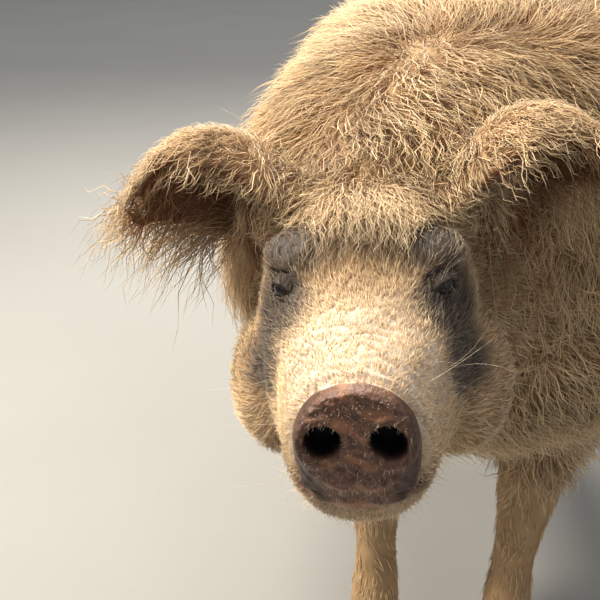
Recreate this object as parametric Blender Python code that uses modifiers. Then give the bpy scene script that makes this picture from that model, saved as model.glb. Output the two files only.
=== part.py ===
"""A mangalica pig standing with its head turned to face its left, as a still life-size model.

The pig faces -Y, its left side is +X and it stands on z = 0. Sizes are metres.
The flesh is a set of lofted forms that are melted into one skin. The skin carries a thin coat core
and flat wavy locks of hair, all fused, and is then parted into its named pieces by thin cuts.
"""

import math
import random

import bmesh
import bpy
from mathutils import Matrix, Vector
from mathutils.bvhtree import BVHTree

# The gap that touching pieces keep.
GAP = 0.0003

# The middle of the pig's outline on the ground, which becomes the origin.
GROUND_MIDDLE = Vector((-0.0309, 0.0332, 0.0))

# The trunk, as (y, top, bottom, half width) from breast to rump.
TRUNK = (
    (-0.335, 0.66, 0.47, 0.100),
    (-0.30, 0.765, 0.41, 0.178),
    (-0.24, 0.833, 0.372, 0.223),
    (-0.14, 0.864, 0.350, 0.240),
    (0.04, 0.866, 0.335, 0.242),
    (0.22, 0.858, 0.325, 0.234),
    (0.38, 0.836, 0.345, 0.219),
    (0.50, 0.796, 0.390, 0.190),
    (0.585, 0.735, 0.450, 0.140),
    (0.63, 0.660, 0.530, 0.070),
)

# The head: where the snout disc's middle is, and how the head is turned, raised, tipped and sized.
DISC_MIDDLE = Vector((-0.085, -0.655, 0.630))
HEAD_TURN = math.radians(3.0)
HEAD_RAISE = math.radians(0.0)
HEAD_TIP = math.radians(4.0)
HEAD_SIZE = 0.81
HEAD_SPIN = (
    Matrix.Rotation(HEAD_TURN, 4, "Z")
    @ Matrix.Rotation(-HEAD_RAISE, 4, "X")
    @ Matrix.Rotation(-HEAD_TIP, 4, "Y")
)
HEAD = Matrix.Translation(DISC_MIDDLE) @ HEAD_SPIN @ Matrix.Scale(HEAD_SIZE, 4)

# The skull and muzzle, as (distance behind the disc, top, bottom, half width), before HEAD_SIZE.
SKULL = (
    (0.004, 0.044, 0.046, 0.047),
    (0.020, 0.046, 0.080, 0.058),
    (0.045, 0.051, 0.107, 0.070),
    (0.080, 0.055, 0.117, 0.078),
    (0.115, 0.058, 0.124, 0.089),
    (0.150, 0.066, 0.129, 0.099),
    (0.185, 0.084, 0.134, 0.106),
    (0.225, 0.107, 0.139, 0.112),
    (0.270, 0.125, 0.142, 0.113),
    (0.320, 0.134, 0.143, 0.113),
    (0.370, 0.130, 0.137, 0.108),
)
DISC_HALF_WIDTH = 0.0525
DISC_HALF_HEIGHT = 0.0490
DISC_THICKNESS = 0.020
NOSTRIL_SPREAD = 0.0275
NOSTRIL_DEPTH = 0.013
MOUTH_DEPTH = 0.008
MOUTH_CORNER = 0.165
MOUTH_STEPS = 8
EYE_RADIUS = 0.0125
EYE_SPREAD = 0.070
EYE_BACK = 0.205
EYE_UP = 0.048
JOWL = (0.090, 0.250, -0.074)
JOWL_RADII = (0.060, 0.100, 0.080)
EAR_ROOT = (0.098, 0.315, 0.098)
EAR_LENGTH = 0.163
EAR_RADIUS = 0.068
EAR_THICKNESS = 0.009
EAR_LIFT = {1.0: 0.76, -1.0: 0.60}
EAR_OPENING = Vector((0.0, -0.83, -0.56))

# The legs, each a list of (x, y, z, radius) from the trunk to the foot, for the pig's left side.
FORELEG = (
    (0.095, -0.175, 0.60, 0.100),
    (0.115, -0.170, 0.48, 0.085),
    (0.112, -0.175, 0.375, 0.060),
    (0.098, -0.198, 0.27, 0.038),
    (0.092, -0.200, 0.17, 0.027),
    (0.090, -0.200, 0.10, 0.031),
    (0.090, -0.212, 0.045, 0.035),
)
HINDLEG = (
    (0.085, 0.420, 0.62, 0.125),
    (0.120, 0.390, 0.50, 0.110),
    (0.130, 0.385, 0.38, 0.078),
    (0.125, 0.455, 0.29, 0.045),
    (0.122, 0.485, 0.21, 0.031),
    (0.122, 0.475, 0.11, 0.032),
    (0.122, 0.460, 0.045, 0.035),
)
HOOF_HEIGHT = 0.050
HOOF_LENGTH = 0.078
CLAW_WIDTH = 0.036
CLEFT = 0.005

# The tail, as (x, y, z, radius) from the rump to its end.
TAIL = (
    (0.0, 0.600, 0.715, 0.026),
    (0.004, 0.660, 0.690, 0.020),
    (0.012, 0.700, 0.630, 0.015),
    (0.022, 0.705, 0.560, 0.012),
    (0.028, 0.690, 0.500, 0.010),
)

# How deep the coat's solid core lies over the flesh, and the locks that cover it.
CORE_BODY = 0.018
CORE_HEAD = 0.004
LOCK_LENGTH = 0.175
LOCK_WIDTH = 0.115
LOCK_SPACING = 0.114
LOCK_RISE = 0.022
LOCK_SINK = 0.007

# Colour and roughness of the coat, and of the nodes whose names start otherwise.
COAT_LOOK = ((0.72, 0.55, 0.34, 1.0), 0.85)
LOOKS = {
    "head": ((0.45, 0.36, 0.27, 1.0), 0.80),
    "snout": ((0.33, 0.17, 0.12, 1.0), 0.45),
    "hoof": ((0.10, 0.08, 0.07, 1.0), 0.50),
    "dewclaw": ((0.10, 0.08, 0.07, 1.0), 0.50),
    "eye": ((0.03, 0.02, 0.015, 1.0), 0.08),
}

SKIN_VOXEL = 0.007
BODY_TRIANGLES = 1300
HEAD_TRIANGLES = 1450
ROOT_TRIES = 9000
FACE_SPACING = 0.062
TASSEL_LOCKS = 7
TASSEL_LENGTH = 0.115
FRINGE_LOCKS = 4
FRINGE_LENGTH = 0.060
DEWCLAW_HEIGHT = 0.088
DEWCLAW_BACK = 0.021
DEWCLAW_SIDE = 0.019
FOOT_SHIFT = -0.008

# Edges shorter than one of these are closed up after a cut, the largest that keeps the mesh closed.
SLIVERS = (0.0002, 0.0001, 0.00005, 0.00002, 0.0)

# How far a seam that two pairs of faces would share is lifted off, so that they part.
SEAM_LIFT = 0.00004

rng = random.Random(3)


def clear_scene():
    """Remove every object that the file holds."""
    for old in list(bpy.data.objects):
        bpy.data.objects.remove(old, do_unlink=True)


def new_object(name, mesh, collection):
    """Put a mesh in a collection as an object of that name."""
    made = bpy.data.objects.new(name, mesh)
    collection.objects.link(made)
    return made


def from_bmesh(name, bm, collection):
    """Turn a bmesh into an object with its faces pointing out."""
    bmesh.ops.recalc_face_normals(bm, faces=bm.faces[:])
    mesh = bpy.data.meshes.new(name)
    bm.to_mesh(mesh)
    bm.free()
    return new_object(name, mesh, collection)


def skin_rings(bm, rings):
    """Join closed rings of points into a tube with flat ends."""
    loops = [[bm.verts.new(point) for point in ring] for ring in rings]
    count = len(loops[0])
    for near, far in zip(loops, loops[1:]):
        for i in range(count):
            j = (i + 1) % count
            bm.faces.new((near[i], near[j], far[j], far[i]))
    bm.faces.new(loops[0][::-1])
    bm.faces.new(loops[-1])


def oval_ring(middle, side, rise, half_width, top, bottom, count, power=2.4):
    """Points of a rounded-square oval, whose top and bottom halves have their own heights."""
    ring = []
    for i in range(count):
        turn = 2.0 * math.pi * i / count
        c = math.cos(turn)
        s = math.sin(turn)
        wide = math.copysign(abs(c) ** (2.0 / power), c) * half_width
        high = math.copysign(abs(s) ** (2.0 / power), s) * (top if s > 0 else bottom)
        ring.append(middle + side * wide + rise * high)
    return ring


def smooth_rows(rows, steps):
    """Rows of numbers read at steps between their knots, along a Catmull-Rom curve."""
    out = []
    last = len(rows) - 1
    for k in range(last):
        before, start, end, after = (rows[min(max(k + d, 0), last)] for d in (-1, 0, 1, 2))
        for step in range(steps):
            t = step / steps
            out.append(tuple(
                0.5 * (2 * b + (c - a) * t + (2 * a - 5 * b + 4 * c - d) * t * t
                       + (3 * b - a - 3 * c + d) * t ** 3)
                for a, b, c, d in zip(before, start, end, after)
            ))
    out.append(rows[-1])
    return out


def loft_trunk(collection):
    """The trunk, a barrel with a gently arched back."""
    bm = bmesh.new()
    rings = []
    for y, top, bottom, half in smooth_rows(TRUNK, 3):
        middle = Vector((0.0, y, 0.55 * top + 0.45 * bottom))
        rings.append(oval_ring(middle, Vector((1, 0, 0)), Vector((0, 0, 1)), half,
                               top - middle.z, middle.z - bottom, 28))
    skin_rings(bm, rings)
    return from_bmesh("trunk_form", bm, collection)


def loft_tube(name, rows, collection, count=14, flatten=1.0):
    """A bent tube through (x, y, z, radius) rows, such as a leg or the tail."""
    rows = smooth_rows(rows, 3)
    points = [Vector(row[:3]) for row in rows]
    bm = bmesh.new()
    rings = []
    for i, (point, row) in enumerate(zip(points, rows)):
        along = (points[min(i + 1, len(points) - 1)] - points[max(i - 1, 0)]).normalized()
        side = along.cross(Vector((0, 1, 0))).normalized()
        rise = side.cross(along).normalized()
        rings.append(oval_ring(point, side, rise, row[3] * flatten, row[3], row[3], count, 2.0))
    skin_rings(bm, rings)
    return from_bmesh(name, bm, collection)


def loft_head(collection):
    """The skull and muzzle behind the snout disc."""
    bm = bmesh.new()
    rings = []
    for back, top, bottom, half in smooth_rows(SKULL, 3):
        middle = Vector((0.0, back, 0.5 * (top - bottom)))
        ring = oval_ring(middle, Vector((1, 0, 0)), Vector((0, 0, 1)), half,
                         top - middle.z, middle.z + bottom, 24, 2.3)
        rings.append([HEAD @ point for point in ring])
    skin_rings(bm, rings)
    return from_bmesh("head_form", bm, collection)


def loft_neck(collection):
    """The thick short neck, from the back of the skull into the shoulders."""
    head_end = HEAD @ Vector((0.0, 0.30, 0.0))
    rows = (
        (head_end.x, head_end.y, head_end.z, 0.092, 0.110, 0.112),
        (head_end.x * 0.72, head_end.y + 0.07, head_end.z + 0.008, 0.168, 0.144, 0.140),
        (head_end.x * 0.35, head_end.y + 0.16, head_end.z + 0.010, 0.216, 0.194, 0.190),
        (0.0, head_end.y + 0.26, head_end.z - 0.010, 0.230, 0.228, 0.230),
    )
    bm = bmesh.new()
    rings = []
    for x, y, z, half, top, bottom in smooth_rows(rows, 3):
        rings.append(oval_ring(Vector((x, y, z)), Vector((1, 0, 0)), Vector((0, 0, 1)),
                               half, top, bottom, 24, 2.2))
    skin_rings(bm, rings)
    return from_bmesh("neck_form", bm, collection)


def ball(name, place, radii, collection, segments=12, rings=8, matrix=None):
    """A stretched sphere."""
    bm = bmesh.new()
    bmesh.ops.create_uvsphere(bm, u_segments=segments, v_segments=rings, radius=1.0)
    shape = Matrix.Translation(Vector(place)) @ Matrix.Diagonal((*radii, 1.0))
    bm.transform((matrix @ shape) if matrix else shape)
    return from_bmesh(name, bm, collection)


def snout_disc_form(collection):
    """The flat snout disc, broadest above its middle and rounded at the rim."""
    bm = bmesh.new()
    rings = []
    for back, grow in ((0.0, 0.88), (0.004, 1.0), (0.016, 1.0), (DISC_THICKNESS, 0.9), (0.034, 0.86)):
        ring = []
        for i in range(28):
            turn = 2.0 * math.pi * i / 28
            high = math.sin(turn)
            wide = math.cos(turn) * (1.0 - 0.10 * max(0.0, high) ** 2 - 0.22 * max(0.0, -high) ** 1.5)
            ring.append(HEAD @ Vector((wide * DISC_HALF_WIDTH * grow, back,
                                       high * DISC_HALF_HEIGHT * grow)))
        rings.append(ring)
    skin_rings(bm, rings)
    return from_bmesh("disc_form", bm, collection)


def flesh_forms(collection):
    """Every lofted form of the flesh, overlapping its neighbours."""
    forms = [loft_trunk(collection), loft_neck(collection), loft_head(collection),
             snout_disc_form(collection)]
    for side in (1.0, -1.0):
        for name, rows in (("foreleg", FORELEG), ("hindleg", HINDLEG)):
            forms.append(loft_tube(name, [(x * side, y, z, r) for x, y, z, r in rows], collection))
        x, y, z = JOWL
        forms.append(ball("jowl", (x * side, y, z), JOWL_RADII, collection, matrix=HEAD))
        forms.append(ball("brow", (EYE_SPREAD * side * 0.86, EYE_BACK + 0.012, EYE_UP + 0.030),
                          (0.034, 0.034, 0.020), collection, matrix=HEAD))
        forms.append(ball("ear_base", (0.092 * side, 0.315, 0.090), (0.042, 0.045, 0.040),
                          collection, matrix=HEAD))
    forms.append(loft_tube("tail", TAIL, collection, 10))
    return forms


def apply_modifiers(target):
    """Replace an object's mesh by what its modifiers make of it."""
    graph = bpy.context.evaluated_depsgraph_get()
    mesh = bpy.data.meshes.new_from_object(target.evaluated_get(graph))
    target.modifiers.clear()
    target.data = mesh


def join_meshes(name, sources, collection):
    """One object that holds the loose meshes of all the sources."""
    bm = bmesh.new()
    for source in sources:
        bm.from_mesh(source.data)
    mesh = bpy.data.meshes.new(name)
    bm.to_mesh(mesh)
    bm.free()
    for source in sources:
        bpy.data.objects.remove(source, do_unlink=True)
    return new_object(name, mesh, collection)


def combine(target, other, operation, solver="MANIFOLD"):
    """Apply one Boolean of a target with an object or with a collection, and remove what it used."""
    boolean = target.modifiers.new("combine", "BOOLEAN")
    boolean.operation = operation
    boolean.solver = solver
    if isinstance(other, bpy.types.Collection):
        boolean.operand_type = "COLLECTION"
        boolean.collection = other
        used = list(other.objects)
    else:
        boolean.object = other
        used = [other]
    apply_modifiers(target)
    for old in used:
        bpy.data.objects.remove(old, do_unlink=True)


def in_head(point):
    """A world point in the head's own frame."""
    return HEAD.inverted() @ point


def blend(value, low, high):
    """Zero below low, one above high and smooth between."""
    t = min(max((value - low) / (high - low), 0.0), 1.0)
    return t * t * (3.0 - 2.0 * t)


def coat_share(point):
    """How much of the body's full coat a place carries, from 0 on the muzzle to 1 on the trunk."""
    local = in_head(point)
    behind = blend(local.y, 0.20, 0.36)
    share = behind if local.y < 0.36 and point.y < DISC_MIDDLE.y + 0.36 else 1.0
    share *= blend(point.z, 0.24, 0.42) * 0.9 + 0.1
    if point.y > 0.64:
        share *= 0.2
    return share


def is_head(point):
    """Whether a point belongs to the head's finer stretch of skin."""
    return in_head(point).y < 0.36 and point.y < DISC_MIDDLE.y + 0.33


def lighten(target, chosen, ratio):
    """Decimate the chosen stretch of a mesh, keeping the rest as it is."""
    group = target.vertex_groups.new(name="lighten")
    group.add([v.index for v in target.data.vertices if chosen(v.co)], 1.0, "REPLACE")
    decimate = target.modifiers.new("lighten", "DECIMATE")
    decimate.vertex_group = "lighten"
    decimate.vertex_group_factor = 1.0
    decimate.use_collapse_triangulate = True
    decimate.ratio = ratio
    apply_modifiers(target)
    target.vertex_groups.clear()


def melt(target, voxel, rounds):
    """Fuse a mesh's overlapping forms and smooth the creases between them."""
    remesh = target.modifiers.new("melt", "REMESH")
    remesh.mode = "VOXEL"
    remesh.voxel_size = voxel
    smooth = target.modifiers.new("smooth", "SMOOTH")
    smooth.factor = 0.5
    smooth.iterations = rounds
    apply_modifiers(target)


def make_skin(collection, voxel, body_triangles, head_triangles):
    """Melt the forms into one smooth skin of about so many triangles, finer on the head."""
    skin = join_meshes("skin", flesh_forms(collection), collection)
    melt(skin, voxel, 5)
    thicken(skin, core_depth)
    melt(skin, voxel, 7)
    whole = sum(len(polygon.vertices) - 2 for polygon in skin.data.polygons)
    face = sum(len(polygon.vertices) - 2 for polygon in skin.data.polygons if is_head(polygon.center))
    lighten(skin, lambda point: not is_head(point), (face + body_triangles) / whole)
    lighten(skin, is_head, (head_triangles + body_triangles) / (face + body_triangles))
    return skin


def ear_line(side, t):
    """The middle of an ear's cup at t from its root to its tip, and the cup's radius there."""
    root = Vector((EAR_ROOT[0] * side, EAR_ROOT[1], EAR_ROOT[2]))
    rise = EAR_LIFT[side] * t - 0.62 * t * t
    radius = EAR_RADIUS * (0.70 + 1.30 * t - 1.65 * t * t) * (1.0 - 0.25 * t ** 6)
    return root + Vector((side * 0.97 * t, -0.10 * t - 0.20 * t * t, rise)) * EAR_LENGTH, radius


def make_ear(side, collection):
    """One lopped ear, a thick-skinned cup held out sideways that opens forward and down."""
    opening = EAR_OPENING
    edge_way = Vector((0.0, opening.z, -opening.y))
    steps, spokes = 6, 6
    sheets = ([], [])
    bm = bmesh.new()
    for i in range(steps + 1):
        t = i / steps
        middle, radius = ear_line(side, t)
        sweep = math.radians(128.0 - 66.0 * t)
        for sheet, away in zip(sheets, (0.0, EAR_THICKNESS * (1.0 - 0.4 * t))):
            turns = (sweep * (2.0 * k / spokes - 1.0) for k in range(spokes + 1))
            sheet.append([
                bm.verts.new(HEAD @ (middle + (edge_way * math.sin(a) - opening * math.cos(a))
                                     * (radius - away)))
                for a in turns
            ])
    outer, inner = sheets
    for i in range(steps):
        for k in range(spokes):
            bm.faces.new((outer[i][k], outer[i][k + 1], outer[i + 1][k + 1], outer[i + 1][k]))
            bm.faces.new((inner[i][k], inner[i + 1][k], inner[i + 1][k + 1], inner[i][k + 1]))
        for k in (0, spokes):
            bm.faces.new((outer[i][k], outer[i + 1][k], inner[i + 1][k], inner[i][k]))
    for i in (0, steps):
        for k in range(spokes):
            bm.faces.new((outer[i][k], outer[i][k + 1], inner[i][k + 1], inner[i][k]))
    bmesh.ops.triangulate(bm, faces=bm.faces[:])
    return from_bmesh("ear_form", bm, collection)


class Surface:
    """A mesh that can be asked for its nearest point and for what a ray meets."""

    def __init__(self, target):
        bm = bmesh.new()
        bm.from_mesh(target.data)
        self.tree = BVHTree.FromBMesh(bm)
        bm.free()

    def nearest(self, point):
        """The nearest surface point and its outward normal."""
        place, normal, _, _ = self.tree.find_nearest(point)
        return place, normal

    def from_inside(self, origin, way):
        """Where a ray from inside leaves the surface, and the outward normal there."""
        place, normal, _, _ = self.tree.ray_cast(origin, way.normalized())
        return place, normal


def mouth_line(surface):
    """Points and outward ways along the line of the mouth, from one corner round to the other."""
    spin = HEAD.to_3x3().normalized()
    found = []
    for i in range(-MOUTH_STEPS, MOUTH_STEPS + 1):
        run = abs(i) / MOUTH_STEPS
        side = math.copysign(1.0, i)
        turn = math.radians(90.0) * min(run / 0.45, 1.0)
        back = 0.050 + (MOUTH_CORNER - 0.050) * max(run - 0.45, 0.0) / 0.55
        origin = HEAD @ Vector((0.0, back, -0.064 + 0.020 * run ** 3))
        way = (spin @ Vector((side * math.sin(turn), -math.cos(turn), 0.0))).normalized()
        place, _ = surface.from_inside(origin, way)
        found.append((place, way))
    return found


def mouth_cutter(line, collection):
    """A thin wedge that opens the lips along the mouth line, fading at its corners."""
    rings = []
    up = HEAD.to_3x3().normalized() @ Vector((0, 0, 1))
    for i, (place, way) in enumerate(line):
        fade = math.sin(math.pi * i / (len(line) - 1)) ** 0.5 * 0.9 + 0.1
        deep = MOUTH_DEPTH * fade
        wide = 0.0032 * fade
        rings.append([place + way * 0.012 + up * wide, place + way * 0.012 - up * wide,
                      place - way * deep])
    bm = bmesh.new()
    skin_rings(bm, rings)
    bmesh.ops.triangulate(bm, faces=bm.faces[:])
    return from_bmesh("mouth_cutter", bm, collection)


def lip(line, lift, radius, collection):
    """A soft fold of flesh that runs along the mouth line."""
    up = HEAD.to_3x3().normalized() @ Vector((0, 0, 1))
    rings = []
    for i, (place, way) in enumerate(line):
        fade = math.sin(math.pi * i / (len(line) - 1)) ** 0.5
        size = radius * (0.25 + 0.75 * fade)
        middle = place - way * (size * 0.45) + up * (lift * (0.3 + 0.7 * fade))
        rings.append([middle + way * (math.cos(a) * size) + up * (math.sin(a) * size)
                      for a in (2.0 * math.pi * k / 5 for k in range(5))])
    bm = bmesh.new()
    skin_rings(bm, rings)
    bmesh.ops.triangulate(bm, faces=bm.faces[:])
    return from_bmesh("lip", bm, collection)


def eye_place(surface, side):
    """The middle of an eyeball, a little under the skin, and the way it looks."""
    spin = HEAD.to_3x3().normalized()
    way = (spin @ Vector((0.62 * side, -0.77, 0.13))).normalized()
    origin = HEAD @ Vector((EYE_SPREAD * side * 0.42, EYE_BACK + 0.035, EYE_UP))
    place, _ = surface.from_inside(origin, way)
    return place - way * 0.0050, way


def lid(middle, way, rise, radius, collection):
    """A curved eyelid, an arc of a tapered tube over the eyeball."""
    up = HEAD.to_3x3().normalized() @ Vector((0, 0, 1))
    across = way.cross(up).normalized()
    up = across.cross(way).normalized()
    rings = []
    steps = 6
    for i in range(steps + 1):
        turn = math.radians(78.0) * (2.0 * i / steps - 1.0)
        out = math.cos(turn)
        spoke = (way * (0.62 * out) + across * math.sin(turn) + up * rise * out).normalized()
        size = radius * (0.35 + 0.65 * out)
        place = middle + spoke * (EYE_RADIUS * HEAD_SIZE + size * 0.55)
        along = across
        other = spoke.cross(along).normalized()
        rings.append([place + spoke * (math.cos(a) * size) + other * (math.sin(a) * size)
                      for a in (2.0 * math.pi * k / 5 for k in range(5))])
    bm = bmesh.new()
    skin_rings(bm, rings)
    bmesh.ops.triangulate(bm, faces=bm.faces[:])
    return from_bmesh("lid", bm, collection)


def nostril_cutter(side, collection):
    """An oval well in the snout disc that leans outward."""
    bm = bmesh.new()
    rings = []
    for back, grow in ((-0.006, 1.15), (0.004, 1.0), (NOSTRIL_DEPTH, 0.62)):
        middle = Vector((side * (NOSTRIL_SPREAD + 0.10 * back), back, 0.002))
        rings.append([
            HEAD @ (middle + Vector((math.cos(a) * 0.0150 * grow, 0.0, math.sin(a) * 0.0135 * grow)))
            for a in (2.0 * math.pi * k / 10 for k in range(10))
        ])
    skin_rings(bm, rings)
    return from_bmesh("nostril", bm, collection)


def thicken(target, depth):
    """Push a mesh out along its normals by depth at each point."""
    normals = [vertex.normal.copy() for vertex in target.data.vertices]
    for vertex, normal in zip(target.data.vertices, normals):
        vertex.co += normal * depth(vertex.co)


def core_depth(point):
    """The depth of the coat's solid core over the flesh."""
    local = in_head(point)
    face = CORE_HEAD * blend(local.y, 0.06, 0.22)
    return face + (CORE_BODY - CORE_HEAD) * coat_share(point)


def lie_of_coat(point):
    """The way the hair lies at a point: back and down, parted along the spine, forward on the brow."""
    local = in_head(point)
    outward = math.copysign(blend(abs(point.x), 0.0, 0.16), point.x)
    body = Vector((0.55 * outward, 0.60, -0.20 - 0.75 * blend(abs(point.x), 0.04, 0.20)))
    crown = Vector((0.45 * outward, -0.55, -0.70))
    mix = blend(local.y, 0.36, 0.56) if point.y < 0.0 else 1.0
    return (crown * (1.0 - mix) + body * mix).normalized()


def close_lock(bm, rows):
    """Skin a lock's four-sided rings, down to its tip."""
    for near, far in zip(rows, rows[1:]):
        for i in range(4):
            j = (i + 1) % 4
            if len(far) == 1:
                bm.faces.new((near[i], near[j], far[0]))
            else:
                bm.faces.new((near[i], near[j], far[j]))
                bm.faces.new((near[i], far[j], far[i]))
    bm.faces.new((rows[0][0], rows[0][2], rows[0][1]))
    bm.faces.new((rows[0][0], rows[0][3], rows[0][2]))


def make_lock(bm, surface, root, length, width, rise, way):
    """Add one flat tapered lock to a bmesh, its root sunk and its tip standing off the coat."""
    _, normal = surface.nearest(root)
    bend = rng.uniform(-0.35, 0.35)
    rings = []
    place = root
    shape = ((0.0, 0.62, -LOCK_SINK), (0.30, 1.0, 0.25 * rise), (0.66, 0.80, 0.72 * rise), (1.0, 0.0, rise))
    done = 0.0
    for t, wide, lift in shape:
        place, normal = surface.nearest(place + way * (length * (t - done)))
        done = t
        way = (way - normal * way.dot(normal)).normalized()
        side = normal.cross(way).normalized()
        way = (way + side * (bend * 0.5)).normalized()
        half = 0.5 * width * wide
        thick = 0.20 * min(width, 0.06) * (0.55 + 0.45 * wide)
        if wide == 0.0:
            rings.append([place + normal * lift])
            continue
        left, left_normal = surface.nearest(place - side * half)
        right, right_normal = surface.nearest(place + side * half)
        edge = lift - 0.35 * thick if lift > 0 else lift - 0.002
        rings.append([
            left + left_normal * edge,
            place + normal * (lift + 0.5 * thick),
            right + right_normal * edge,
            place + normal * (lift - 0.6 * thick),
        ])
    rows = [[bm.verts.new(point) for point in ring] for ring in rings]
    close_lock(bm, rows)


def spread_points(surface_object, spacing, wanted):
    """Points spread evenly at random over a surface, no two nearer than their spacing."""
    faces = list(surface_object.data.polygons)
    heavy = [p.area for p in faces]
    kept = []
    for polygon in rng.choices(faces, heavy, k=ROOT_TRIES):
        corners = [surface_object.data.vertices[i].co for i in polygon.vertices]
        u, v = rng.random(), rng.random()
        if u + v > 1.0:
            u, v = 1.0 - u, 1.0 - v
        point = corners[0] + (corners[1] - corners[0]) * u + (corners[2] - corners[0]) * v
        gap = spacing(point)
        if gap is None or not wanted(point, polygon.normal):
            continue
        if all((point - other).length > min(gap, other_gap) for other, other_gap in kept):
            kept.append((point.copy(), gap))
    return kept


def free_lock(bm, root, way, face, length, width, droop):
    """Add one lock that hangs free from its root, such as an ear's fringe or the tail's tassel."""
    place = root - way * (0.10 * length)
    way = way.normalized()
    curl = rng.uniform(-0.5, 0.5)
    rings = []
    for t, wide in ((0.0, 0.7), (0.35, 1.0), (0.7, 0.75), (1.0, 0.0)):
        if t > 0.0:
            place = place + way * (0.36 * length)
        side = way.cross(face).normalized()
        front = side.cross(way).normalized()
        if wide == 0.0:
            rings.append([place])
            continue
        half = 0.5 * width * wide
        thick = 0.16 * width * (0.5 + 0.5 * wide)
        rings.append([place - side * half, place + front * thick, place + side * half, place - front * thick])
        way = (way + Vector((0, 0, -droop)) + side * (curl * 0.4)).normalized()
    rows = [[bm.verts.new(point) for point in ring] for ring in rings]
    close_lock(bm, rows)


def lock_object(bm, collection):
    """Turn one lock's bmesh into an object of the locks' collection."""
    return from_bmesh("lock", bm, collection)


def body_locks(surface, core, collection):
    """Overlapping locks over the trunk, neck, crown and upper legs."""
    def spacing(point):
        local = in_head(point)
        if local.y < 0.40 and point.y < -0.30:
            return FACE_SPACING
        return LOCK_SPACING

    def wanted(point, normal):
        local = in_head(point)
        if point.y > 0.58 and abs(point.x) < 0.055 and 0.45 < point.z < 0.76:
            return False
        if local.y < 0.40 and point.y < -0.30:
            crown = abs(local.x) < 0.085 and local.z > 0.06 and local.y > 0.235
            cheek = local.y > 0.27 and local.z < -0.02
            return crown or cheek
        return point.z > 0.42 or (point.z > 0.30 and normal.z < -0.3 and abs(point.x) < 0.09)

    for root, gap in spread_points(core, spacing, wanted):
        size = gap / LOCK_SPACING
        length = LOCK_LENGTH * (0.35 + 0.65 * size) * rng.uniform(0.88, 1.12)
        if root.z < 0.5:
            length = min(length, 0.6 * LOCK_LENGTH)
        bm = bmesh.new()
        make_lock(bm, surface, root, length, LOCK_WIDTH * size * rng.uniform(0.9, 1.1),
                  LOCK_RISE * (0.4 + 0.6 * size), lie_of_coat(root))
        lock_object(bm, collection)


def ear_fringe(side, collection):
    """Hanging and swept locks along the lower and upper edges of an ear."""
    spin = HEAD.to_3x3().normalized()
    for i in range(FRINGE_LOCKS):
        for low in (True, False):
            middle, radius = ear_line(side, 0.34 + 0.20 * i)
            edge = Vector((0, 0.3, -0.90)) if low else Vector((0, -0.15, 0.98))
            root = HEAD @ (middle + edge * max(radius - 0.006, 0.010))
            way = spin @ Vector((side * 0.85, -0.1, -0.55 if low else 0.05))
            bm = bmesh.new()
            free_lock(bm, root, way, spin @ Vector((0, -0.8, 0.4)), FRINGE_LENGTH, 0.034, 0.33)
            lock_object(bm, collection)


def tail_tassel(collection):
    """The switch of hair that hangs from the tail's end."""
    for i in range(TASSEL_LOCKS):
        x, y, z, radius = TAIL[-1]
        turn = 2.0 * math.pi * i / TASSEL_LOCKS
        out = Vector((math.cos(turn), math.sin(turn), 0.0))
        lift = 0.035 * (i % 3)
        root = Vector((x, y, z + lift)) + out * radius * 0.6
        bm = bmesh.new()
        free_lock(bm, root, out * 0.35 + Vector((0, 0, -1)), out, TASSEL_LENGTH, 0.030, 0.5)
        lock_object(bm, collection)


def box(name, low, high, matrix, collection, pad=0.0):
    """A cutter box between two corners of a frame, grown by pad on all sides."""
    bm = bmesh.new()
    bmesh.ops.create_cube(bm, size=1.0)
    low = Vector(low) - Vector((pad, pad, pad))
    high = Vector(high) + Vector((pad, pad, pad))
    shape = Matrix.Translation((low + high) / 2.0) @ Matrix.Diagonal((*(high - low), 1.0))
    bm.transform(matrix @ shape)
    made = from_bmesh(name, bm, collection)
    made.hide_render = True
    made.display_type = "WIRE"
    return made


def copy_of(source, name, collection):
    """A separate copy of an object and its mesh."""
    return new_object(name, source.data.copy(), collection)


def split_faces(bm):
    """Split every face into triangles, and part the edges that two pairs of them then share."""
    bmesh.ops.triangulate(bm, faces=bm.faces[:])
    for edge in [edge for edge in bm.edges if len(edge.link_faces) > 2]:
        first, second = edge.verts
        ahead = [loop.face for loop in edge.link_loops if loop.vert is first]
        astern = [loop.face for loop in edge.link_loops if loop.vert is second]
        if not ahead or not astern:
            continue
        pair = max(((f, g) for f in ahead for g in astern),
                   key=lambda two: two[0].normal.dot(two[1].normal))
        crown = (pair[0].normal + pair[1].normal).normalized() * SEAM_LIFT
        middle = bm.verts.new((first.co + second.co) / 2.0 + crown)
        for face in pair:
            corners = face.verts[:]
            bm.faces.remove(face)
            for old in (first, second):
                bm.faces.new([middle if vert is old else vert for vert in corners])
    bm.normal_update()


def pinched(bm):
    """The corners of edges that more or fewer than two faces share, and of faces that fold flat."""
    bm.verts.index_update()
    seen = {}
    bad = {vert for edge in bm.edges if len(edge.link_faces) != 2 for vert in edge.verts}
    for face in bm.faces:
        key = frozenset(vert.index for vert in face.verts)
        if key in seen:
            bad.update(face.verts)
        seen[key] = face
    return bad


def merged(mesh, distance):
    """A bmesh of a mesh with edges shorter than distance closed up, or None where that opens it."""
    bm = bmesh.new()
    bm.from_mesh(mesh)
    split_faces(bm)
    for _ in range(5):
        if distance > 0.0:
            bmesh.ops.dissolve_degenerate(bm, edges=bm.edges[:], dist=distance)
        split_faces(bm)
        bad = pinched(bm)
        if not bad:
            return bm
        bmesh.ops.delete(bm, geom=list(bad), context="VERTS")
        rim = [edge for edge in bm.edges if len(edge.link_faces) < 2]
        bmesh.ops.delete(bm, geom=[edge for edge in rim if not edge.link_faces], context="EDGES")
        rim = [edge for edge in bm.edges if len(edge.link_faces) == 1]
        bmesh.ops.holes_fill(bm, edges=rim, sides=0)
        split_faces(bm)
    bm.free()
    return None


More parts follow.
